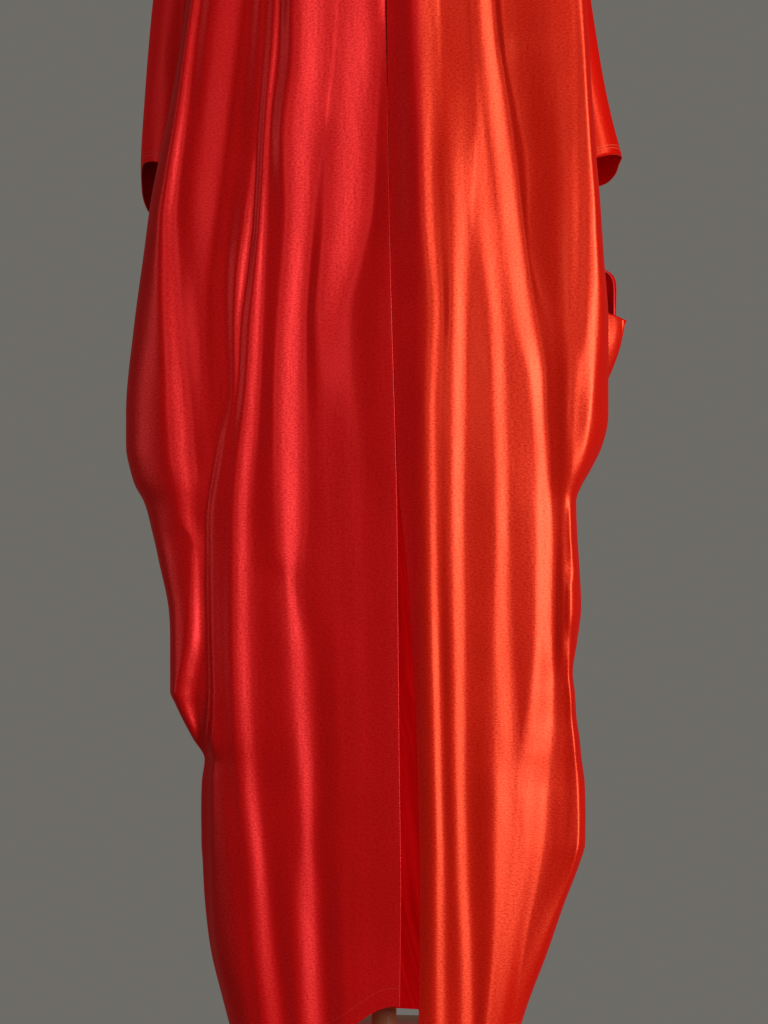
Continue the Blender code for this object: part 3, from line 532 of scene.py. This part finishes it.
CORNER_LOW, CORNER_HIGH = 0.285, 0.405  # the drape's lower corner takes closer rings
LOW_RINGS, CORNER_RINGS, HIGH_RINGS, YOKE_RINGS = 42, 44, 132, 34
HEM_EDGE = 0.0008  # the first two rings, and the last few, are close and keep the hems crisp
NECK_EDGE = (0.96, 0.98, 0.99, 1.0)
SKIRT_LEVELS = [
    HEM,
    *np.linspace(HEM + HEM_EDGE, CORNER_LOW, LOW_RINGS)[:-1],
    *np.linspace(CORNER_LOW, CORNER_HIGH, CORNER_RINGS)[:-1],
    *np.linspace(CORNER_HIGH, UNDERARM, HIGH_RINGS),
]
YOKE_SHARES = [*np.linspace(0, NECK_EDGE[0], YOKE_RINGS)[1:], *NECK_EDGE[1:]]
LEVELS = SKIRT_LEVELS + [UNDERARM + v for v in YOKE_SHARES]


# ---------------------------------------------------------------- mesh making
def add_object(name, data):
    obj = bpy.data.objects.new(name, data)
    bpy.context.scene.collection.objects.link(obj)
    return obj


def lengths(points, axis):
    """Distance run along an axis of a grid of points, starting at nought."""
    steps = np.linalg.norm(np.diff(points, axis=axis), axis=2)
    start = np.zeros_like(np.take(steps, [0], axis=axis))
    return np.cumsum(np.concatenate([start, steps], axis=axis), axis=axis)


SAME_PLACE = 1e-6


def cloth_grid(name, points, finishes, wall=CLOTH, flip=False, closed=False):
    """A cloth surface through a grid of points.

    Its UV map 'cloth' holds metres across the cloth and up from its first row, and 'top' metres
    across and down from its last row.  finishes are those of the face, the reverse and the edge.
    """
    rows, columns = points.shape[:2]
    across, along = lengths(points, 1), lengths(points, 0)
    below = along[-1] - along
    bm = bmesh.new()
    bmesh.ops.create_grid(bm, x_segments=columns - 1, y_segments=rows - 1, size=1.0)
    cloth, top = bm.loops.layers.uv.new("cloth"), bm.loops.layers.uv.new("top")
    places = {}
    for v in bm.verts:
        i = round((v.co.x + 1) / 2 * (columns - 1))
        j = round((v.co.y + 1) / 2 * (rows - 1))
        places[v] = (across[j, i], along[j, i], below[j, i])
        v.co = points[j, i]
    for face in bm.faces:
        face.smooth = True
        for loop in face.loops:
            u, up, down = places[loop.vert]
            loop[cloth].uv, loop[top].uv = (u, up), (u, down)
    if closed:
        bmesh.ops.remove_doubles(bm, verts=bm.verts, dist=SAME_PLACE)
    if flip:
        bmesh.ops.reverse_faces(bm, faces=bm.faces)
    bmesh.ops.translate(bm, verts=bm.verts, vec=(CENTRE, 0, 0))
    mesh = bpy.data.meshes.new(name)
    bm.to_mesh(mesh)
    bm.free()
    for finish in finishes:
        mesh.materials.append(finish.material)
    obj = add_object(name, mesh)
    thick = obj.modifiers.new("wall", "SOLIDIFY")
    thick.thickness = wall
    thick.offset = -1.0
    thick.use_quality_normals = True
    thick.material_offset = 1
    thick.material_offset_rim = 2
    return obj


# ---------------------------------------------------------------- shader kit
class Value:
    """A shader socket that adds its Math node when an operator is used on it."""

    def __init__(self, finish, socket):
        self.finish, self.socket = finish, socket

    def math(self, operation, *values):
        return self.finish.node("ShaderNodeMath", {"operation": operation}, dict(enumerate(values)))

    def __add__(self, other):
        return self.math("ADD", self, other)

    def __sub__(self, other):
        return self.math("SUBTRACT", self, other)

    def __rsub__(self, other):
        return self.math("SUBTRACT", other, self)

    def __mul__(self, other):
        return self.math("MULTIPLY", self, other)

    def __truediv__(self, other):
        return self.math("DIVIDE", self, other)

    def __lt__(self, other):
        return self.math("LESS_THAN", self, other)

    def __abs__(self):
        return self.math("ABSOLUTE", self)

    __radd__ = __add__


class Finish:
    """A material: uniform values sit on the shader, and node() adds any other node."""

    def __init__(self, name, uniform):
        self.material = bpy.data.materials.new(name)
        self.material.use_nodes = True
        self.tree = self.material.node_tree
        self.shader = self.tree.nodes["Principled BSDF"]
        for socket, value in uniform.items():
            self.shader.inputs[socket].default_value = value

    def node(self, kind, settings, values, output=0):
        node = self.tree.nodes.new(kind)
        for key, value in settings.items():
            setattr(node, key, value)
        for key, value in values.items():
            self.feed(node.inputs[key], value)
        return Value(self, node.outputs[output])

    def feed(self, socket, value):
        if isinstance(value, Value):
            self.tree.links.new(value.socket, socket)
        else:
            socket.default_value = value

    def mix(self, factor, a, b):
        node = self.tree.nodes.new("ShaderNodeMix")
        node.data_type = "RGBA"
        for key, value in ((0, factor), (6, a), (7, b)):
            self.feed(node.inputs[key], value)
        return Value(self, node.outputs[2])

    def noise(self, place, scale, detail=2.0, roughness=0.5, stretch=(1, 1, 1)):
        if stretch != (1, 1, 1):
            place = self.node("ShaderNodeMapping", {}, {"Vector": place, "Scale": stretch})
        return self.node(
            "ShaderNodeTexNoise", {},
            {"Vector": place, "Scale": scale, "Detail": detail, "Roughness": roughness},
        )

    def place(self):
        return self.node("ShaderNodeTexCoord", {}, {}, "Object")

    def axes(self, place):
        """The x, y and z of a place, or the u and v of a UV map."""
        node = self.node("ShaderNodeSeparateXYZ", {}, {0: place}).socket.node
        return [Value(self, output) for output in node.outputs]

    def bump(self, height, distance):
        values = {"Strength": 1.0, "Distance": distance, "Height": height}
        return self.node("ShaderNodeBump", {}, values, "Normal")

    def add_gloss(self, share, uniform):
        """Lays a second shader, for the shine, over the first with a fixed share."""
        self.gloss = self.tree.nodes.new("ShaderNodeBsdfPrincipled")
        for socket, value in uniform.items():
            self.gloss.inputs[socket].default_value = value
        mix = self.tree.nodes.new("ShaderNodeMixShader")
        mix.inputs[0].default_value = share
        self.tree.links.new(self.shader.outputs[0], mix.inputs[1])
        self.tree.links.new(self.gloss.outputs[0], mix.inputs[2])
        self.tree.links.new(mix.outputs[0], self.tree.nodes["Material Output"].inputs["Surface"])

    def wire(self, shader=None, **links):
        for socket, value in links.items():
            self.feed((shader or self.shader).inputs[socket.replace("_", " ")], value)


# ---------------------------------------------------------------- finishes
STITCH_PITCH, STITCH_SHARE, STITCH_HALF = 0.0036, 0.68, 0.00055  # share shown; half its width
SHADE_BAND_EDGE, SHADE_BAND_SOFTNESS = 0.030, 0.013  # where the band of painted shade beside the opening ends, and how softly
BODY_DARK, SHINE_DARK = 0.70, 0.45  # the darkest threads' share of a colour
PAINTED_GLOW_SHARES = (1.25, 4.0, 3.0, 1)  # of the body's colour, at the brightest of the painted glow


def scaled(colour, share):
    return tuple(share * c for c in colour[:3]) + (1,)


def stitch_rows(finish, seams):
    """Rows of running stitches: 1 on a thread.  seams are (UV map, distance from its edge)."""
    total = None
    for uv_map, edge in seams:
        u, v, _ = finish.axes(finish.node("ShaderNodeUVMap", {"uv_map": uv_map}, {}))
        dash = u.math("FRACT", u / STITCH_PITCH) < STITCH_SHARE
        row = (abs(v - edge) < STITCH_HALF) * dash
        total = row if total is None else total + row
    return total


def satin(
    name, body, shine, gloss=0.28, roughness=0.37, stitched=(), thread=0.25, glow=0.0, facing=None
):
    """Woven satin: a deep matt body under a brighter, warmer shine with a fine crosswise grain.

    gloss is the shine's share, thread how far stitches differ from the cloth, and glow the
    strength of a painted glow: light that the cloth gives off though it is no lamp.  facing is
    the body and shine of the band beside the front opening, where those differ: painted shade.
    """
    finish = Finish(name, {"Roughness": 0.80, "Specular IOR Level": 0.0})
    finish.add_gloss(gloss, {"Metallic": 1.0})
    place = finish.place()
    cloth = finish.node("ShaderNodeUVMap", {"uv_map": "cloth"}, {})
    grain = finish.noise(cloth, 560, 1.5, 0.7, (0.6, 1.2, 1))
    slub = finish.noise(cloth, 95, 2.0, 0.5, (1, 0.16, 1))
    cloud = finish.noise(place, 14, 2.0, 0.5)
    cast = cloud * 0.55 + slub * 0.35 + grain * 0.10
    sparkle = (grain - 0.5) * 3.3 + 0.66
    body_now = finish.mix(cast, scaled(body, BODY_DARK), body)
    shine_now = finish.mix(sparkle, scaled(shine, SHINE_DARK), shine)
    # painted shade: beside the front opening the cloth takes the deeper crimson of its shade
    if facing:
        band, band_shine = facing
        past_shade_band = (finish.axes(place)[0] - (CENTRE + SHADE_BAND_EDGE)) / SHADE_BAND_SOFTNESS
        shade_band_now = finish.mix(cast, scaled(band, BODY_DARK), band)
        body_now = finish.mix(past_shade_band, shade_band_now, body_now)
        shade_band_now = finish.mix(sparkle, scaled(band_shine, SHINE_DARK), band_shine)
        shine_now = finish.mix(past_shade_band, shade_band_now, shine_now)
    height = grain * 0.10 + slub * 0.30
    if stitched:
        stitches = stitch_rows(finish, stitched)
        height = height - stitches * 0.7
        body_now = finish.mix(stitches * thread, body_now, shine)
    normal = finish.bump(height, 0.0006)
    # painted glow: the cloth gives off light of its own, in paler streaks
    if glow:
        painted_glow_streaks = finish.noise(cloth, 150, 2.0, 0.6, (1, 0.05, 1))
        lit = tuple(share * c for share, c in zip(PAINTED_GLOW_SHARES, body))
        glowing = finish.mix((painted_glow_streaks - 0.5) * 3.0 + 0.55, scaled(body, BODY_DARK), lit)
        finish.shader.inputs["Emission Strength"].default_value = glow
        finish.wire(Emission_Color=glowing)
    finish.wire(Base_Color=body_now, Normal=normal)
    finish.wire(
        finish.gloss,
        Base_Color=shine_now,
        Roughness=roughness + (grain - 0.5) * 0.14 + (cloud - 0.5) * 0.10,
        Normal=normal,
    )
    return finish


LINEN_DARK = 0.62


def linen(name, colour):
    """Stretched linen: crossed uneven threads."""
    finish = Finish(name, {"Specular IOR Level": 0.2})
    place = finish.place()
    weft = finish.noise(place, 620, 2.0, 0.6, (0.12, 0.12, 1))
    warp = finish.noise(place, 620, 2.0, 0.6, (1, 1, 0.10))
    cloud = finish.noise(place, 9, 2.0, 0.5)
    finish.wire(
        Base_Color=finish.mix(
            weft * 0.45 + warp * 0.45 + cloud * 0.25, scaled(colour, LINEN_DARK), colour
        ),
        Roughness=0.82 + (cloud - 0.5) * 0.12,
        Normal=finish.bump(weft * 0.5 + warp * 0.5, 0.0007),
    )
    return finish


def wood(name, light, dark, along=(0.10, 1, 1), coat=0.45):
    """Varnished wood: broad figure, narrow bands and short pores, all running one way."""
    finish = Finish(name, {"Coat Roughness": 0.25, "Specular IOR Level": 0.15})
    place = finish.place()
    figure = finish.noise(place, 22, 3.0, 0.55, along)
    bands = finish.noise(place, 120, 2.0, 0.6, along)
    pores = finish.noise(place, 520, 1.0, 0.5, along)
    tone = figure * 0.75 + bands * 0.45 - 0.10
    in_pore = pores < 0.36
    finish.wire(
        Base_Color=finish.mix(tone - in_pore * 0.22, dark, light),
        Roughness=0.40 + (bands - 0.5) * 0.20,
        Coat_Weight=coat - in_pore * coat * 0.5,
        Normal=finish.bump(pores * 0.3 + bands * 0.3, 0.0004),
    )
    return finish


def enamel(name, dark, light):
    """Baked enamel on a tube: slight orange peel and worn, duller patches."""
    finish = Finish(name, {"Specular IOR Level": 0.35})
    place = finish.place()
    peel = finish.noise(place, 260, 2.0, 0.5)
    patches = finish.noise(place, 18, 3.0, 0.6)
    finish.wire(
        Base_Color=finish.mix(patches, dark, light),
        Roughness=0.46 + (patches - 0.5) * 0.25,
        Normal=finish.bump(peel, 0.0003),
    )
    return finish


CRIMSON, CRIMSON_SHINE = (0.60, 0.0006, 0.0016, 1), (0.88, 0.066, 0.064, 1)
ORANGE, ORANGE_SHINE = (0.69, 0.0018, 0.0006, 1), (1.0, 0.136, 0.059, 1)
# the panels' crimson painted lighter for the left sleeve, which the lamps leave in shade
SLEEVE_CRIMSON_PAINTED_LIGHTER = (0.88, 0.0010, 0.0024, 1)
EDGE_HIGHLIGHT_CRIMSON, EDGE_HIGHLIGHT_ORANGE = (0.82, 0.075, 0.085, 1), (0.86, 0.12, 0.07, 1)  # thin turned edges, painted paler as the highlight on their rims
# share of the cloth's colour on the cut edges: painted shade along the rims
EDGE_PAINTED_SHADE = 0.25
PANEL_SEAMS = (("cloth", 0.018), ("top", 0.006))
CUFF_SEAMS = (("cloth", 0.0068), ("cloth", 0.0098))
crimson_satin = satin("crimson_satin", CRIMSON, CRIMSON_SHINE, stitched=PANEL_SEAMS)
# beside its opening the orange is painted crimson as shade
orange_satin = satin(
    "orange_satin", ORANGE, ORANGE_SHINE, stitched=PANEL_SEAMS, facing=(CRIMSON, CRIMSON_SHINE)
)
# left sleeve: painted light, a brighter copy of the panels' crimson
crimson_sleeve = satin(
    "crimson_sleeve_satin_painted_lighter", SLEEVE_CRIMSON_PAINTED_LIGHTER, CRIMSON_SHINE,
    gloss=0.22, roughness=0.45, stitched=CUFF_SEAMS, thread=0.55,
)
orange_sleeve = satin(
    "orange_sleeve_satin", ORANGE, ORANGE_SHINE,
    gloss=0.15, roughness=0.45, stitched=CUFF_SEAMS, thread=0.55,
)
crimson_reverse = satin("crimson_satin_reverse", CRIMSON, CRIMSON_SHINE, 0.08, 0.6)
orange_reverse = satin("orange_satin_reverse", ORANGE, ORANGE_SHINE, 0.08, 0.6)
# painted light: the back's inside glows, standing in for light that reaches it through the slit
painted_glow_reverse = satin("crimson_satin_painted_glow", CRIMSON, CRIMSON_SHINE, 0.08, 0.6, glow=0.40)
# cut edges: matt, and painted dark as shade along the panels' rims
crimson_shaded_edge = satin("crimson_satin_edge_painted_shade", scaled(CRIMSON, EDGE_PAINTED_SHADE), CRIMSON_SHINE, 0.0, 0.6)
orange_shaded_edge = satin("orange_satin_edge_painted_shade", scaled(ORANGE, EDGE_PAINTED_SHADE), ORANGE_SHINE, 0.0, 0.6)
# turned edges of cuffs and pocket lips: painted highlight, paler than the cloth
crimson_highlit_fold = satin("crimson_satin_turned_edge_painted_highlight", EDGE_HIGHLIGHT_CRIMSON, CRIMSON_SHINE, 0.3, 0.35)
orange_highlit_fold = satin("orange_satin_turned_edge_painted_highlight", EDGE_HIGHLIGHT_ORANGE, ORANGE_SHINE, 0.3, 0.35)
form_linen = linen("form_linen", (0.66, 0.61, 0.53, 1))
base_wood = wood("base_wood", (0.74, 0.33, 0.14, 1), (0.36, 0.14, 0.050, 1), coat=0.0)
cap_wood = wood("cap_wood", (0.235, 0.092, 0.042, 1), (0.070, 0.024, 0.010, 1), (1, 0.10, 1))
pole_enamel = enamel("pole_enamel", (0.40, 0.18, 0.085, 1), (0.60, 0.29, 0.140, 1))


# ---------------------------------------------------------------- pieces
def make_front(name, panel, finishes):
    return cloth_grid(name, panel.points(LEVELS), finishes, flip=panel.side < 0)


def make_back(left, right, finishes):
    a, b = left.points(LEVELS), right.points(LEVELS)
    return cloth_grid("back_panel", np.concatenate([a[:, ::-1], b[:, 1:]], axis=1), finishes, flip=True)


def armhole_ring(front, back, turns):
    """The armhole as a loop: down the front panel's edge from the shoulder, up the back's."""
    shares = np.linspace(0, 1, ARMHOLE_STEPS)
    edges = [np.array([panel.yoke(v)[-1] for v in shares]) for panel in (front, back)]
    ring = []
    for turn in turns:
        edge, v = (edges[0], 1 - 2 * turn) if turn <= 0.5 else (edges[1], 2 * turn - 1)
        ring.append([np.interp(v, shares, edge[:, k]) for k in range(3)])
    ring[-1] = ring[0]
    return np.array(ring)


def cuff_ring(side, cuff, angle, across):
    """The cuff's hem, a squarish loop that hangs lower behind and tilts in front."""
    middle, half_y = (cuff.back - cuff.front) / 2, (cuff.back + cuff.front) / 2
    y = middle - half_y * np.sign(np.sin(angle)) * abs(np.sin(angle)) ** CUFF_SQUARENESS
    x = side * (cuff.inner + (cuff.outer - cuff.inner) * across)
    behind = ((y + cuff.front) / (2 * half_y)).clip(0, 1) ** CUFF_BACK_DROP
    z = cuff.front_height + (cuff.back_height - cuff.front_height) * behind
    z += cuff.tilt * (across - CUFF_PIVOT) * (1 - behind)
    return np.array([x, y, z]).T


def sleeve_wave(side, angle, height, s):
    """How far a sleeve stands in or out, in mm: creases, and soft folds that grow downwards."""
    x, y = math.cos(angle) * CREASE_TURN, math.sin(angle) * CREASE_TURN
    wave = CREASE_DEPTH * ripple(x, y, height, CREASE_SIZE, 11 + side)
    wave += SLEEVE_FOLD * math.sin(SLEEVE_FOLDS * angle + SLEEVE_TWIST * s + side) * s
    return wave


def make_sleeve(name, front, back, finishes):
    side, cuff, head, flare, hang = SLEEVES[name]
    turns = np.linspace(0, 1, SLEEVE_TURNS)
    angle = 2 * math.pi * turns
    across = (1 + np.cos(angle)) / 2
    zero = 0 * across
    start = armhole_ring(front, back, turns) + np.array([side * ARMHOLE_GAP, 0, 0])
    end = cuff_ring(side, cuff, angle, across)
    leave = start + np.array([side * (SLEEVE_HEAD + head * across), zero, zero]).T
    drop = hang * (start[:, 2] - end[:, 2])
    arrive = end + np.array([-side * flare * across, zero, drop]).T
    rings = []
    for s in [*np.linspace(0, CUFF_EDGE[0], SLEEVE_RINGS), *CUFF_EDGE[1:]]:
        ring = between(start, leave, arrive, end, s)
        quiet = float(smooth(s / SLEEVE_QUIET))
        middle_of_ring = ring.mean(axis=0)
        for k, point in enumerate(ring):
            out = point - middle_of_ring
            out[2] = 0
            size = max(np.linalg.norm(out), SAME_PLACE)
            ring[k] = point + out / size * sleeve_wave(side, angle[k], point[2], s) * MM * quiet
        ring[-1] = ring[0]
        rings.append(ring)
    points = np.array(rings)[::-1]
    return cloth_grid(f"sleeve_{name}_satin", points, finishes, closed=True, flip=side > 0)


# ---------------------------------------------------------------- pocket in the side
NEAR_BY = 0.02  # of a column: close enough to tell which way the cloth runs


def stand_off(panel, column, z, lift):
    """A point of the panel's side held off the cloth by lift, square to it."""
    x, y, _ = panel.ring(z)
    px, py = (np.interp(column, panel.columns, v) for v in (x, y))
    qx, qy = (np.interp(column - NEAR_BY, panel.columns, v) for v in (x, y))
    size = math.hypot(px - qx, py - qy)
    nx, ny = abs(py - qy) / size, (px - qx) / size * math.copysign(1, qy - py)
    return px + nx * lift, py + ny * lift, z


def make_pocket_lip(name, panel, place, levels, finishes, flip):
    steps = np.linspace(0, 1, LIP_STEPS)
    points = np.array([[place(panel, across, z) for across in steps] for z in levels])
    return cloth_grid(name, points, finishes, LIP_WALL, flip)


def front_lip(panel, across, level):
    """The pocket's front edge, which stands open at its top like an ear."""
    t = (level - POCKET_FOOT) / (POCKET_MIDDLE - POCKET_FOOT)
    swell = FRONT_LIP * t**0.85 * math.sin(math.pi * across**0.85)
    roll = FRONT_LIP_ROLL * t * math.sin(3.2 * math.pi * across + 0.8)
    width = FRONT_LIP_WIDTH * math.sin(0.12 + 1.75 * t) ** 0.7
    column = panel.last + FRONT_LIP_SEAM - width * (1 - across)
    x, y, z = stand_off(panel, column, level, FRONT_LIP_SEAT + LIP_WALL + swell + roll)
    return x, y, z - FRONT_LIP_DROOP * t * swell / FRONT_LIP


def back_lip(panel, across, level):
    """The pocket's back edge, which shows above the front one."""
    t = (level - POCKET_FOOT) / (POCKET_TOP - POCKET_FOOT)
    seam = stand_off(panel, panel.last + BACK_LIP_SEAM, level, 0.0)[0]
    swell = (BACK_LIP_REACH - seam) * float(smooth(t / 0.5)) * (1 - t**24)
    swell *= BACK_LIP_FULLNESS * math.sin(math.pi * (0.36 + 0.64 * across))
    width = BACK_LIP_WIDTH * math.sin(math.pi * (0.03 + 0.93 * t)) ** 0.6
    column = panel.last + BACK_LIP_SEAM - width * across
    return stand_off(panel, column, level, BACK_LIP_SEAT + LIP_WALL + max(swell, 0.0))


front_left = Panel(-1, -1, LEFT_FOLDS, 2.0, rounded_corner=True)
front_right = Panel(1, -1, RIGHT_FOLDS, 5.0, slit=True)
back_left = Panel(-1, 1, BACK_LEFT_FOLDS, 9.0)
back_right = Panel(1, 1, BACK_RIGHT_FOLDS, 9.0)

crimson = (crimson_satin, crimson_reverse, crimson_shaded_edge)
orange = (orange_satin, orange_reverse, orange_shaded_edge)
crimson_cuffed = (crimson_sleeve, crimson_reverse, crimson_highlit_fold)
orange_cuffed = (orange_sleeve, orange_reverse, orange_highlit_fold)
crimson_lip = (crimson_satin, crimson_reverse, crimson_highlit_fold)
orange_lip = (orange_satin, orange_reverse, orange_highlit_fold)
FRONT_LIP_LEVELS = np.linspace(POCKET_FOOT, POCKET_MIDDLE, 37)
BACK_LIP_LEVELS = np.linspace(POCKET_FOOT, POCKET_TOP, 61)
pieces = {
    "front_left": make_front("front_left_satin", front_left, crimson),
    "front_right": make_front("front_right_satin", front_right, orange),
    # the back's inside carries the painted glow
    "back": make_back(back_left, back_right, (crimson_satin, painted_glow_reverse, crimson_shaded_edge)),
    "sleeve_left": make_sleeve("left", front_left, back_left, crimson_cuffed),
    "sleeve_right": make_sleeve("right", front_right, back_right, orange_cuffed),
    "pocket_lip_front": make_pocket_lip(
        "pocket_lip_front_satin", front_right, front_lip, FRONT_LIP_LEVELS, orange_lip, flip=False
    ),
    "pocket_lip_back": make_pocket_lip(
        "pocket_lip_back_satin", back_right, back_lip, BACK_LIP_LEVELS, crimson_lip, flip=True
    ),
}
Cut = namedtuple("Cut", "width length area slot held")
for node, piece in pieces.items():
    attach(piece, "root")
    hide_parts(node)
for node, finish in (
    ("form_torso", form_linen),
    ("form_neck_cap", cap_wood),
    ("form_pole", pole_enamel),
    ("form_base", base_wood),
):
    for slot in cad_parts[node].material_slots:
        slot.material = finish.material


# ---------------------------------------------------------------- stage, lights and camera
FLOOR_RADIUS, FLOOR_DROP = 0.27, 0.0005


def make_floor():
    bm = bmesh.new()
    bmesh.ops.create_circle(bm, cap_ends=True, segments=96, radius=FLOOR_RADIUS)
    bmesh.ops.translate(bm, verts=bm.verts, vec=(CENTRE, 0, -FLOOR_DROP))
    mesh = bpy.data.meshes.new("floor")
    bm.to_mesh(mesh)
    bm.free()
    paper = Finish("pale_floor", {"Base Color": (0.62, 0.60, 0.57, 1), "Roughness": 0.9})
    mesh.materials.append(paper.material)
    floor = add_object("floor", mesh)


def softbox(name, place, aim_height, width, height, power):
    """An oblong lamp of so many watts, aimed at the upright axis at a height."""
    light = bpy.data.lights.new(name, "AREA")
    light.shape, light.size, light.size_y = "RECTANGLE", width, height
    light.energy = power
    lamp = add_object(name, light)
    lamp.location = place
    lamp.rotation_mode = "QUATERNION"
    aim = Vector((0, 0, aim_height)) - Vector(place)
    lamp.rotation_quaternion = aim.to_track_quat("-Z", "Y")


make_floor()
softbox("key", (2.3, -2.3, 0.72), 0.5, width=0.8, height=2.2, power=98)
softbox("front fill", (0.05, -3.7, 1.0), 0.5, width=0.5, height=0.6, power=7)
softbox("left fill", (-3.0, -0.7, 0.9), 0.55, width=1.4, height=2.2, power=12)
softbox("top", (0.3, -0.6, 3.4), 1.0, width=1.6, height=1.2, power=9)

world = bpy.data.worlds.new("studio")
world.use_nodes = True
backdrop = world.node_tree.nodes["Background"]
backdrop.inputs["Color"].default_value = (0.155, 0.148, 0.135, 1)
bpy.context.scene.world = world

CAMERA_DISTANCE, CAMERA_HEIGHT = 3.2, 0.551
view = bpy.data.cameras.new("camera")
view.sensor_fit, view.sensor_height, view.lens = "VERTICAL", 36.0, 112.5
camera = add_object("camera", view)
camera.location = (CENTRE, -CAMERA_DISTANCE, CAMERA_HEIGHT)
camera.rotation_euler = (math.pi / 2, 0, 0)
bpy.context.scene.camera = camera
bpy.context.scene.view_settings.view_transform = "Standard"
